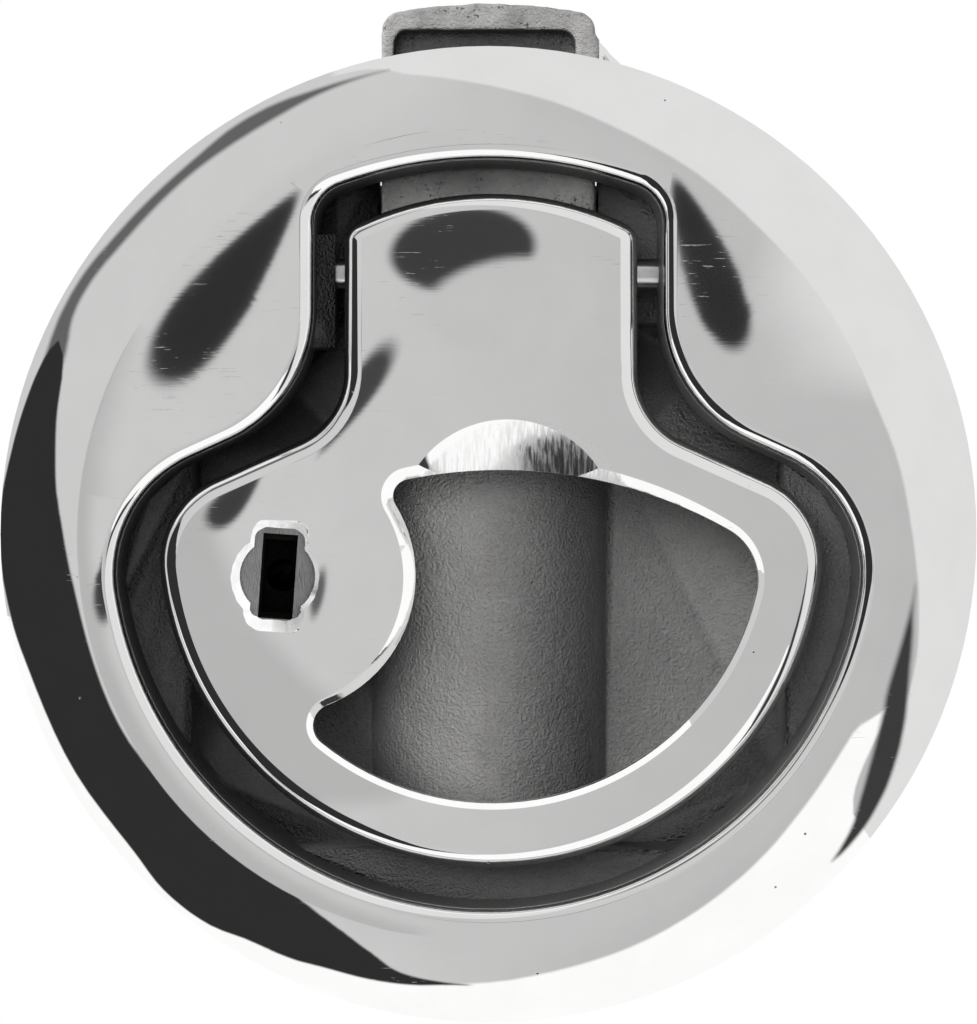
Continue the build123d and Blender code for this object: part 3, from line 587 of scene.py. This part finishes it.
@dataclass
class PolishedHousing(CarriedPart):
    """The housing, with the true normals of its dome, band, rim and recess wall."""

    crown_r: float = 31.5
    crown_z: float = 4.6
    crown_rise: float = 0.7
    edge_r: float = 38.1
    edge_z: float = 1.2
    rim: float = 1.0
    draft: float = 3.0
    band_share: float = 0.72
    wall_low: float = -2.6
    wall_top: float = 1.0
    wall_reach: float = 0.6
    recess: Bell = Bell((-13.65, 13.65), 29.2, 34.0, 3.2, 10.29, 24.2, 11.0, 29.2, 10.0)

    def ball_radius(self) -> float:
        """Radius of the sphere that the crown is part of."""
        return (self.crown_r**2 + self.crown_rise**2) / (2 * self.crown_rise)

    def dome_normal(self, place: Vector) -> Vector:
        """Normal of the crown or the falling band over a place.

        Args:
            place: the place in millimetres.

        Returns:
            The unit normal.
        """
        ball = self.ball_radius()
        radius = math.hypot(place.x, place.y)
        if radius < self.crown_r:
            height = math.sqrt(ball**2 - radius**2)
            return Vector((place.x, place.y, height)).normalized()
        lean = math.asin(self.crown_r / ball)
        across = self.edge_r - self.crown_r
        down = self.crown_z - self.edge_z
        half = math.atan2(down, across) - lean
        band = math.hypot(across, down) / (2 * math.sin(half))
        middle = self.crown_r - band * math.sin(lean)
        out = min(1.0, (radius - middle) / band)
        slope = lean + (math.asin(out) - lean) * self.band_share
        level = math.sin(slope) / radius
        return Vector((place.x * level, place.y * level, math.cos(slope)))

    def on_dome(self, face: bpy.types.MeshPolygon) -> bool:
        """Whether a face belongs to the dome or the band and not to the recess's rim."""
        middle = face.center / MM
        if math.hypot(middle.x, middle.y) > self.crown_r - 0.3:
            return True
        return face.normal.dot(self.dome_normal(middle)) > math.cos(math.radians(1.2))

    def build(self) -> bpy.types.Object:
        """Make the housing and set the normals of its polished faces."""
        piece = self.mesh()
        mesh = piece.data
        outline = Nearest(self.recess.points())
        fall = math.tan(math.radians(self.draft))
        normals = [corner.vector.copy() for corner in mesh.corner_normals]
        for face in mesh.polygons:
            middle = face.center / MM
            if face.normal.z <= 0.02 or middle.z <= self.wall_low:
                continue
            if math.hypot(middle.x, middle.y) > self.edge_r - 0.01:
                continue
            away, _ = outline.outside(middle)
            if middle.z < self.wall_top and abs(away) > self.wall_reach:
                continue
            on_dome = self.on_dome(face)
            for corner in face.loop_indices:
                place = mesh.vertices[mesh.loops[corner].vertex_index].co / MM
                gap, side = outline.outside(place)
                gap -= (place.z - self.crown_z) * fall
                inward = Vector((-side.x, -side.y, fall)).normalized()
                share = min(1.0, max(0.0, gap / self.rim))
                top = self.dome_normal(place)
                if on_dome:
                    normals[corner] = top
                    continue
                lift = math.sqrt(1 - (1 - share) ** 2)
                normals[corner] = (inward * (1 - share) + top * lift).normalized()
        mesh.normals_split_custom_set(normals)
        return self.dress(piece)


@dataclass
class PolishedHandle(CarriedPart):
    """The pull handle, with the true normals of its domed plate, its edge and its scoop."""

    top_z: float = 4.4
    under_z: float = 1.2
    dome_r: float = 420.0
    apex_y: float = 8.0
    lip_lean: float = 44.5
    edge: float = 1.4
    scoop: tuple[float, float] = (1.5, 0.45)
    scoop_r: float = 8.6
    scoop_ball: float = 16.0
    plate: Bell = Bell((-11.4, 11.4), 26.5, 24.5, 1.5, 8.75, 24.0, 6.0, 25.9, 7.0, 0.2)

    def build(self) -> bpy.types.Object:
        """Make the handle and set the normals of its polished faces."""
        piece = self.mesh()
        mesh = piece.data
        outline = Nearest(self.plate.points())
        lift = math.sqrt(self.scoop_ball**2 - self.scoop_r**2)
        bowl = Vector((self.scoop[0], self.scoop[1], self.top_z + lift))
        ball = Vector((0, self.apex_y, self.top_z - self.dome_r))
        plate = Vector((0, 0, self.top_z - self.dome_r))
        normals = [corner.vector.copy() for corner in mesh.corner_normals]
        for face in mesh.polygons:
            middle = face.center / MM
            if face.normal.z < 0.05 or middle.z < self.under_z + 0.5:
                continue
            in_bowl = abs((middle - bowl).length - self.scoop_ball) < 0.05
            on_dome = face.normal.dot((middle - plate).normalized()) > math.cos(math.radians(0.9))
            gaps = [outline.outside(mesh.vertices[number].co / MM)[0] for number in face.vertices]
            facing = face.normal.dot(outline.outside(middle)[1].to_3d())
            in_lip = not in_bowl and not on_dome and (max(gaps) < -self.edge - 0.3 or facing < -0.1)
            for corner in face.loop_indices:
                place = mesh.vertices[mesh.loops[corner].vertex_index].co / MM
                top = (place - ball).normalized()
                if in_bowl or on_dome:
                    normals[corner] = (bowl - place).normalized() if in_bowl else top
                    continue
                if in_lip:
                    level = Vector((face.normal.x, face.normal.y, 0)).lerp(normals[corner], 0.5)
                    level = Vector((level.x, level.y, 0)).normalized() * math.tan(math.radians(self.lip_lean))
                    normals[corner] = (level + Vector((0, 0, 1))).normalized()
                    continue
                gap, side = outline.outside(place)
                share = min(1.0, max(0.0, -gap / self.edge))
                outward = Vector((side.x, side.y, 0))
                rise = math.sqrt(1 - (1 - share) ** 2)
                normals[corner] = (outward * (1 - share) + top * rise).normalized()
        mesh.normals_split_custom_set(normals)
        return self.dress(piece)


@dataclass
class KeyholeLip:
    """The bright hand-ground lip round the keyhole, wider at the left and at the bottom."""

    body: str
    finish: bpy.types.Material
    place: tuple[float, float] = (-16.36, -3.28)
    radius: float = 3.03
    ear: tuple[float, float] = (2.05, 4.28)
    corner: float = 1.0
    tilt: float = -4.0
    width: tuple[float, float] = (0.2, 0.62)
    wide_side: float = 212.0
    top_z: float = 4.4
    dome_r: float = 420.0
    lean: float = 44.4
    steps: int = 240
    ear_inset: float = 0.85

    def reach(self, angle: float) -> float:
        """How far the keyhole reaches from its middle at an angle."""
        ray = Vector((math.cos(angle), math.sin(angle)))
        far = self.radius
        for step in range(400, 0, -1):
            place = ray * (step * 0.0125)
            over = Vector((max(0.0, abs(place.x) - self.ear[0] + self.corner),
                           max(0.0, abs(place.y) - self.ear[1] + self.corner)))
            if over.length <= self.corner:
                return max(far, place.length)
        return far

    def build(self) -> bpy.types.Object:
        """Lay the lip round the keyhole."""
        points, normals, faces = [], [], []
        for step in range(self.steps):
            angle = 2 * math.pi * step / self.steps
            far = self.reach(angle)
            heading = angle + math.radians(self.tilt)
            ray = Vector((math.cos(heading), math.sin(heading)))
            turn = math.cos(heading - math.radians(self.wide_side)) * 0.5 + 0.5
            jag = 0.03 * math.sin(17 * angle) * math.sin(7.3 * angle)
            wide = self.width[0] + (self.width[1] - self.width[0]) * turn**1.5 + jag
            at_ear = min(1.0, max(0.0, (abs(math.sin(angle)) - 0.8) / 0.12))
            inset = 0.06 + at_ear * (self.ear_inset - 0.4 * (math.sin(angle) > 0))
            for away in (far - inset, far + wide * (1 - 0.95 * at_ear)):
                flat = Vector(self.place) + ray * away
                drop = (flat.x**2 + flat.y**2) / (2 * self.dome_r)
                points.append((flat.x * MM, flat.y * MM, (self.top_z - drop + 0.02) * MM))
            inward = math.tan(math.radians(self.lean))
            normals.append(Vector((-ray.x * inward, -ray.y * inward, 1)).normalized())
            a, b = 2 * step, 2 * ((step + 1) % self.steps)
            faces.append((a, a + 1, b + 1, b))
        mesh = bpy.data.meshes.new("keyhole_lip")
        mesh.from_pydata(points, [], faces)
        mesh.shade_smooth()
        mesh.normals_split_custom_set([normals[loop.vertex_index // 2] for loop in mesh.loops])
        mesh.materials.append(self.finish)
        piece = bpy.data.objects.new("keyhole_lip", mesh)
        bpy.context.scene.collection.objects.link(piece)
        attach(piece, self.body)
        return piece


@dataclass
class CastBolt(CarriedPart):
    """The slam bolt with the uneven skin and soft edges of a rough casting."""

    grid: float = 0.26
    skin: float = 0.16

    def mesh(self) -> bpy.types.Object:
        """Remesh the node's copy evenly and raise its cast skin."""
        piece = super().mesh()
        even = piece.modifiers.new("even", "REMESH")
        even.mode = "VOXEL"
        even.voxel_size = self.grid * MM
        bpy.ops.object.modifier_apply(modifier="even")
        smooth = piece.modifiers.new("smooth", "SMOOTH")
        smooth.factor = 0.5
        smooth.iterations = 1
        bpy.ops.object.modifier_apply(modifier="smooth")
        for name, size, depth in (("lumps", 1.6, self.skin), ("grain", 0.5, self.skin * 0.5)):
            clouds = bpy.data.textures.new(name, "CLOUDS")
            clouds.noise_scale = size * MM
            clouds.noise_depth = 2
            raised = piece.modifiers.new(name, "DISPLACE")
            raised.texture = clouds
            raised.texture_coords = "LOCAL"
            raised.strength = depth * MM
            raised.mid_level = 0.85
            bpy.ops.object.modifier_apply(modifier=name)
        bpy.ops.object.shade_smooth()
        return piece


@dataclass
class ThreadedStuds(CarriedPart):
    """The two clamp studs with a rolled thread over their whole length."""

    places: tuple[tuple[float, float], ...] = ((-26.4, 7.0), (26.4, 7.0))
    crest: float = 1.94
    root: float = 1.62
    pitch: float = 0.7
    low: float = -24.5
    high: float = -6.8

    def thread(self, place: tuple[float, float]) -> bpy.types.Object:
        """Turn one thread's profile into a closed screw."""
        deselect()
        turns = int((self.high - self.low) / self.pitch) - 1
        bpy.ops.mesh.primitive_plane_add(size=1.0)
        stud = bpy.context.object
        mesh = stud.data
        mesh.clear_geometry()
        steps = ((self.root, 0.0), (self.crest, 0.36), (self.crest, 0.5), (self.root, 0.86), (self.root, 1.0))
        points = [(radius * MM, 0.0, share * self.pitch * MM) for radius, share in steps]
        mesh.from_pydata(points, [(i, i + 1) for i in range(len(points) - 1)], [])
        screw = stud.modifiers.new("screw", "SCREW")
        screw.steps = screw.render_steps = 28
        screw.iterations = turns
        screw.screw_offset = self.pitch * MM
        screw.use_merge_vertices = False
        focus(stud)
        bpy.ops.object.modifier_apply(modifier="screw")
        bpy.ops.object.mode_set(mode="EDIT")
        bpy.ops.mesh.select_all(action="SELECT")
        bpy.ops.mesh.remove_doubles(threshold=0.004 * MM)
        bpy.ops.mesh.select_all(action="DESELECT")
        bpy.ops.mesh.select_non_manifold(extend=False, use_wire=False, use_multi_face=False,
                                         use_non_contiguous=False, use_verts=False)
        bpy.ops.mesh.edge_face_add()
        bpy.ops.mesh.select_all(action="SELECT")
        bpy.ops.mesh.normals_make_consistent(inside=False)
        bpy.ops.object.mode_set(mode="OBJECT")
        bottom = self.low + (self.high - self.low - (turns + 1) * self.pitch) / 2
        stud.location = (place[0] * MM, place[1] * MM, bottom * MM)
        bpy.ops.object.transform_apply(location=True, rotation=False, scale=False)
        return stud

    def mesh(self) -> bpy.types.Object:
        """Make both studs as one piece."""
        studs = [self.thread(place) for place in self.places]
        deselect()
        for stud in studs:
            stud.select_set(True)
        bpy.context.view_layer.objects.active = studs[0]
        bpy.ops.object.join()
        piece = bpy.context.object
        piece.name = self.node + "_finished"
        bpy.ops.object.shade_smooth_by_angle(angle=math.radians(self.look.value))
        return piece


# Studio


@dataclass(frozen=True)
class Flag:
    """A soft dark or bright oval in the studio, placed where a reflected ray may look."""

    across: float
    up: float
    half: tuple[float, float]
    level: float
    turn: float = 0.0
    soft: float = 0.25
    taper: float = 0.0

    def cover(self, pen: Sketch, spread: object) -> bpy.types.NodeSocket:
        """How much of the light this flag takes.

        Args:
            pen: the sketch of the world.
            spread: the ray's tilt from straight up in degrees, along its heading.

        Returns:
            The socket of the share.
        """
        place = pen.add(
            "ShaderNodeMapping",
            {"Vector": spread, "Location": (self.across, self.up, 0), "Scale": (*self.half, 1.0),
             "Rotation": (0, 0, math.radians(self.turn))},
            vector_type="TEXTURE",
        ).outputs[0]
        if self.taper:
            parts = pen.parts(place)
            width = pen.math("SUBTRACT", 1.0, pen.math("MULTIPLY", parts["Y"], self.taper))
            place = pen.flat(pen.math("DIVIDE", parts["X"], width), parts["Y"])
        return pen.ramp(pen.length(place), 1.0 - self.soft, 1.0 + self.soft, 1.0, 0.0)


Run = tuple[tuple[float, float], ...]


@dataclass(frozen=True)
class Curtain:
    """A curtain hung round the part: its near and far edge follow the compass."""

    level: float
    near: Run
    far: Run
    soft: float = 2.0

    def open_far(self) -> bool:
        """Whether the curtain goes on past straight down, so that its far edge never shows."""
        return min(tilt for _, tilt in self.far) > 180

    def enters_crown(self, crown_tilt: float) -> bool:
        """Whether the near edge, with the swing of its curve, may hang into the crown."""
        return min(tilt for _, tilt in self.near) - self.soft - CURVE_SWING < crown_tilt

    def hangs_between(self, start: float, end: float) -> bool:
        """Whether the curtain hangs anywhere between two headings in degrees."""
        first, last = self.near[0][0], self.near[-1][0] + CURTAIN_END
        return any(first + turn < end and start < last + turn for turn in (-360, 0, 360))

    def edge(self, pen: Sketch, compass: object, run: Run) -> bpy.types.NodeSocket:
        """The tilt of one edge at the ray's heading.

        Args:
            pen: the sketch of the world.
            compass: the ray's heading from this curtain's first end, in turns.
            run: pairs of heading and tilt, in degrees.

        Returns:
            The socket of the tilt in half turns.
        """
        node = pen.add("ShaderNodeFloatCurve", {"Value": compass})
        curve = node.mapping.curves[0]
        start = self.near[0][0]
        curve.points[0].location = (0.0, run[0][1] / 180)
        curve.points[1].location = (1.0, run[-1][1] / 180)
        for heading, tilt in run[1:]:
            curve.points.new((heading - start) / 360, tilt / 180)
        node.mapping.update()
        return node.outputs[0]

    def cover(self, pen: Sketch, heading: object, tilt: object) -> bpy.types.NodeSocket:
        """How much of the light this curtain takes.

        Args:
            pen: the sketch of the world.
            heading: the ray's heading in turns.
            tilt: the ray's tilt from straight up in half turns.

        Returns:
            The socket of the share.
        """
        start, end = self.near[0][0], self.near[-1][0]
        soft = self.soft / 180
        compass = pen.math("FRACT", pen.math("SUBTRACT", heading, start / 360))
        past_near = pen.math("SUBTRACT", tilt, self.edge(pen, compass, self.near))
        inside = pen.ramp(past_near, -soft, soft)
        if not self.open_far():
            past_far = pen.math("SUBTRACT", tilt, self.edge(pen, compass, self.far))
            inside = pen.math("MULTIPLY", inside, pen.ramp(past_far, -soft, soft, 1.0, 0.0))
        last = (end - start) / 360
        return pen.math("MULTIPLY", inside, pen.ramp(compass, last, last + CURTAIN_END / 360, 1.0, 0.0))


@dataclass
class Studio:
    """Camera, pale floor and the light tent with its dark flags."""

    distance: float = 380.0
    view_height: float = 79.94
    aim: tuple[float, float, float] = (0.0, 1.72, 1.2)
    floor_z: float = -25.0
    crown_left: float = 0.67
    crown_right: float = 0.55
    crown_tilt: float = 10.6
    sides: tuple[float, ...] = (-8.0, 102.0, 135.0, 285.0, 352.0)
    curtains: tuple[Curtain, ...] = (
        Curtain(0.82, ((-50, 75), (-40, 62), (-30, 46), (-20, 42), (-10, 32), (0, 22), (10, 16), (20, 10),
                       (32, 9), (44, 10), (60, 17), (70, 22), (80, 31), (90, 42), (100, 58), (108, 75)),
                ((-50, 182), (108, 182)), 1.6),
        Curtain(1.09, ((190, 79), (200, 68), (210, 67), (220, 65), (230, 73), (240, 61), (250, 53), (260, 47),
                       (270, 42), (280, 36), (290, 32), (300, 27), (310, 22), (320, 17), (330, 16),
                       (338, 33)),
                ((190, 182), (314, 182), (322, 53), (330, 34), (338, 33)), 1.5),
        Curtain(0.14, ((102, 66), (110, 63), (120, 58), (130, 58), (140, 58), (150, 62), (160, 50),
                       (166, 60)),
                ((102, 66), (110, 68), (120, 73), (130, 68), (140, 69), (150, 74), (160, 69), (166, 68)), 3),
        Curtain(0.03, ((156, 63), (160, 47), (165, 41), (170, 35), (175, 30), (180, 24), (185, 20), (190, 17),
                       (195, 16), (210, 16), (215, 14), (220, 12), (230, 13), (240, 11), (245, 15), (250, 22),
                       (255, 32), (260, 42), (267, 44)),
                ((156, 63), (160, 71), (165, 74), (170, 77), (180, 83), (190, 78), (200, 70), (210, 69),
                 (220, 67), (230, 75), (240, 63), (245, 60), (250, 55), (255, 53), (260, 50),
                 (267, 45)), 1.2),
        Curtain(0.05, ((316, 66), (320, 60), (325, 47), (330, 37), (335, 30), (340, 25), (346, 25),
                       (352, 27)),
                ((316, 66), (320, 69), (325, 66), (330, 59), (335, 50), (340, 40), (346, 32), (352, 27)), 3),
        Curtain(1.1, ((-75, 83.2), (135, 83.2)), ((-75, 182), (135, 182)), 1.0),
        Curtain(0.52, ((150, 9.8), (160, 9.6), (255, 9.6), (262, 9.8)),
                ((150, 9.8), (160, 11.5), (255, 11.5), (262, 9.8)), 0.5),
    )
    flags: tuple[Flag, ...] = (
        Flag(-6.35, 5.75, (0.72, 2.85), 0.03, -37.0, 0.1, 0.55),
        Flag(5.3, 6.3, (0.6, 2.2), 0.03, 21.0, 0.1, 0.45),
        Flag(-0.85, 6.92, (2.4, 1.4), 0.05, 6.0, 0.1),
        Flag(0.7, 5.12, (2.8, 1.5), 0.6, 8.0, 0.14),
        Flag(-4.35, 2.02, (0.42, 2.1), 0.06, -33.0, 0.25, -0.5),
        Flag(-8.35, -1.28, (0.45, 1.25), 0.05, -44.0, 0.2, 0.5),
        Flag(-5.6, -4.38, (0.2, 0.8), 0.12, -12.0, 0.4),
        Flag(-2.3, 9.65, (0.75, 0.12), 0.1, 4.0, 0.4),
    )

    def tent_sky(self) -> None:
        """Light the scene with a pale tent: flags and low curtains overhead, curtains round the sides."""
        world = bpy.data.worlds.new("light_tent")
        bpy.context.scene.world = world
        world.use_nodes = True
        pen = Sketch(world.node_tree)
        ray = pen.add("ShaderNodeTexCoord").outputs["Generated"]
        ray = pen.add("ShaderNodeVectorMath", {0: ray}, operation="NORMALIZE").outputs[0]
        parts = pen.parts(ray)
        tilt = pen.math("DIVIDE", pen.math("ARCCOSINE", parts["Z"]), math.pi)
        heading = pen.math("DIVIDE", pen.math("ARCTAN2", parts["Y"], parts["X"]), 2 * math.pi)
        level = pen.add("ShaderNodeVectorMath", {0: pen.flat(parts["X"], parts["Y"])}, operation="NORMALIZE")
        spread = pen.scaled(level.outputs[0], pen.math("MULTIPLY", tilt, 180.0))
        sideways = pen.ramp(pen.parts(spread)["X"], -14.0, 14.0)
        bare = pen.blend(sideways, grey(self.crown_left), grey(self.crown_right))

        def lining(curtains: list[Curtain], flags: tuple[Flag, ...] = ()) -> bpy.types.NodeSocket:
            """Background of one part of the tent with what hangs there."""
            light = bare
            for curtain in curtains:
                light = pen.blend(curtain.cover(pen, heading, tilt), light, grey(curtain.level))
            for flag in flags:
                light = pen.blend(flag.cover(pen, spread), light, grey(flag.level))
            return pen.add("ShaderNodeBackground", {"Color": light}).outputs[0]

        first = self.sides[0]
        compass = pen.math("FRACT", pen.math("SUBTRACT", heading, first / 360))
        tent = None
        for start, end in zip(self.sides, self.sides[1:]):
            side = lining([curtain for curtain in self.curtains if curtain.hangs_between(start, end)])
            tent = side if tent is None else pen.either(
                pen.math("GREATER_THAN", compass, (start - first) / 360), tent, side)
        overhead = [curtain for curtain in self.curtains if curtain.enters_crown(self.crown_tilt)]
        crown = lining(overhead, self.flags)
        tent = pen.either(pen.math("LESS_THAN", tilt, self.crown_tilt / 180), tent, crown)
        plain = pen.add("ShaderNodeBackground", {"Color": grey(1.0)}).outputs[0]
        shown = pen.either(pen.add("ShaderNodeLightPath").outputs["Is Camera Ray"], tent, plain)
        pen.add("ShaderNodeOutputWorld", {"Surface": shown})

    def floor(self) -> None:
        """Lay a plain pale floor under the part."""
        deselect()
        bpy.ops.mesh.primitive_plane_add(size=3.0, location=(0, 0, self.floor_z * MM))
        plane = bpy.context.object
        plane.name = "pale_floor"
        bpy.ops.object.transform_apply(location=True, rotation=False, scale=False)
        material = bpy.data.materials.new("pale_floor")
        material.use_nodes = True
        pen = Sketch(material.node_tree)
        shade = pen.add("ShaderNodeBsdfDiffuse", {"Color": grey(0.8)})
        bright = pen.add("ShaderNodeEmission", {"Color": grey(1.0), "Strength": 1.0})
        shown = pen.add("ShaderNodeLightPath").outputs["Is Camera Ray"]
        surface = pen.either(shown, shade.outputs[0], bright.outputs[0])
        pen.add("ShaderNodeOutputMaterial", {"Surface": surface})
        plane.data.materials.append(material)
        plane.visible_glossy = False

    def lamp(self, name: str, place: tuple[float, float, float], size: float, power: float) -> None:
        """Hang one soft square lamp that looks at the part.

        Args:
            name: the lamp's name.
            place: where it hangs, in metres.
            size: its side, in metres.
            power: its power in watts.
        """
        data = bpy.data.lights.new(name, "AREA")
        data.size = size
        data.energy = power
        lamp = bpy.data.objects.new(name, data)
        lamp.visible_glossy = False
        lamp.location = place
        lamp.rotation_euler = (Vector((0, 0, 0)) - Vector(place)).to_track_quat("-Z", "Y").to_euler()
        bpy.context.scene.collection.objects.link(lamp)

    def camera(self) -> None:
        """Set the camera straight above the part, as in the photograph."""
        data = bpy.data.cameras.new("camera")
        data.sensor_fit = "VERTICAL"
        data.sensor_height = 24.0
        data.lens = 24.0 * self.distance / self.view_height
        data.clip_start = 0.01
        data.clip_end = 20.0
        camera = bpy.data.objects.new("camera", data)
        camera.location = (self.aim[0] * MM, self.aim[1] * MM, (self.aim[2] + self.distance) * MM)
        camera.rotation_euler = Euler((0, 0, 0))
        bpy.context.scene.collection.objects.link(camera)
        bpy.context.scene.camera = camera

    def build(self) -> None:
        """Set up the whole studio."""
        self.tent_sky()
        self.floor()
        self.lamp("softbox", (-0.09, 0.1, 0.65), 0.24, 2.4)
        self.lamp("side_lamp", (-0.36, 0.2, 0.5), 0.34, 1.6)
        self.camera()
        bpy.context.scene.view_settings.view_transform = "Standard"


# The latch


def main() -> None:
    """Build the studio and every piece of the latch."""
    logging.basicConfig(level=logging.INFO, format="%(name)s: %(message)s")
    Studio().build()
    housing_steel = PolishedCasting("housing_steel", polish_z=3.1, edge_r=33.0,
                                    channel_shade=(6.0, -6.0, 16.5)).material()
    handle_steel = PolishedCasting("handle_steel", polish_z=1.7, brushed=(2.6, 0.4, 8.9)).material()
    bolt_steel = PolishedCasting("bolt_steel", polish_z=90.0, cast_light=0.66, cast_dark=0.46, crust=0.3,
                                 painted_light_and_shade=1.0, pocket_z=-5.6, clean_x=8.75).material()
    pin_steel = PlainMetal("pin_steel", grey(0.72), 0.16).material()
    wire_steel = PlainMetal("wire_steel", grey(0.42), 0.3).material()
    sheet_steel = PlainMetal("sheet_steel", grey(0.6), 0.3).material()
    screw_steel = PlainMetal("screw_steel", grey(0.62), 0.22).material()
    lock_metal = PlainMetal("lock_metal", grey(0.5), 0.34).material()
    # The plug's colour goes near black below 2.9 mm: painted shade in the keyhole slot.
    plug_metal = PlainMetal("plug_metal", grey(0.4), 0.3, (8.0, 1.5, 1.0), 0.05, painted_shade_below=2.9).material()
    # The lock's wafers are coloured near black: painted shade inside the keyhole.
    wafer_shade = PlainMetal("wafer_brass", (0.022, 0.018, 0.014, 1.0), 0.6).material()
    # The cam screw is coloured near black: painted shade inside the lock.
    lock_inside_shade = PlainMetal("lock_inside_shade", grey(0.03), 0.55).material()
    rubber = MouldedRubber("seal_rubber").material()
    lip_steel = PlainMetal("lip_steel", grey(0.98), 0.04, (2.0, 2.0, 1.0), 0.0004, 0.05).material()
    parts = [
        KeyholeLip("handle", lip_steel),
        PolishedHousing("housing", "housing", housing_steel, Look.CAST),
        PolishedHandle("pull_handle", "handle", handle_steel, Look.ROUND),
        CastBolt("slam_bolt", "bolt", bolt_steel, Look.CAST),
        CarriedPart("pivot_pin", "housing", pin_steel),
        CarriedPart("handle_spring", "housing", wire_steel, Look.CAST),
        CarriedPart("bolt_spring", "housing", wire_steel, Look.CAST),
        CarriedPart("spring_guide_rod", "housing", pin_steel),
        CarriedPart("rear_cover", "housing", sheet_steel, Look.CRISP, 0.12),
        CarriedPart("cover_screws", "housing", screw_steel),
        CarriedPart("flange_seal", "housing", rubber),
        CarriedPart("lock_barrel", "handle", lock_metal),
        CarriedPart("lock_plug", "lock", plug_metal, Look.CRISP),
        CarriedPart("lock_wafers", "lock", wafer_shade),
        CarriedPart("plug_clip", "lock", wire_steel),
        CarriedPart("lock_cam", "lock", sheet_steel, Look.CRISP, 0.1),
        CarriedPart("cam_washer", "lock", screw_steel),
        CarriedPart("cam_screw", "lock", lock_inside_shade),
        CarriedPart("clamp_bracket", "housing", sheet_steel, Look.CRISP, 0.12),
        ThreadedStuds("clamp_studs", "housing", screw_steel),
        CarriedPart("clamp_washers", "housing", screw_steel),
        CarriedPart("clamp_nuts", "housing", screw_steel),
    ]
    for part in parts:
        part.build()


if __name__ == "__main__":
    main()
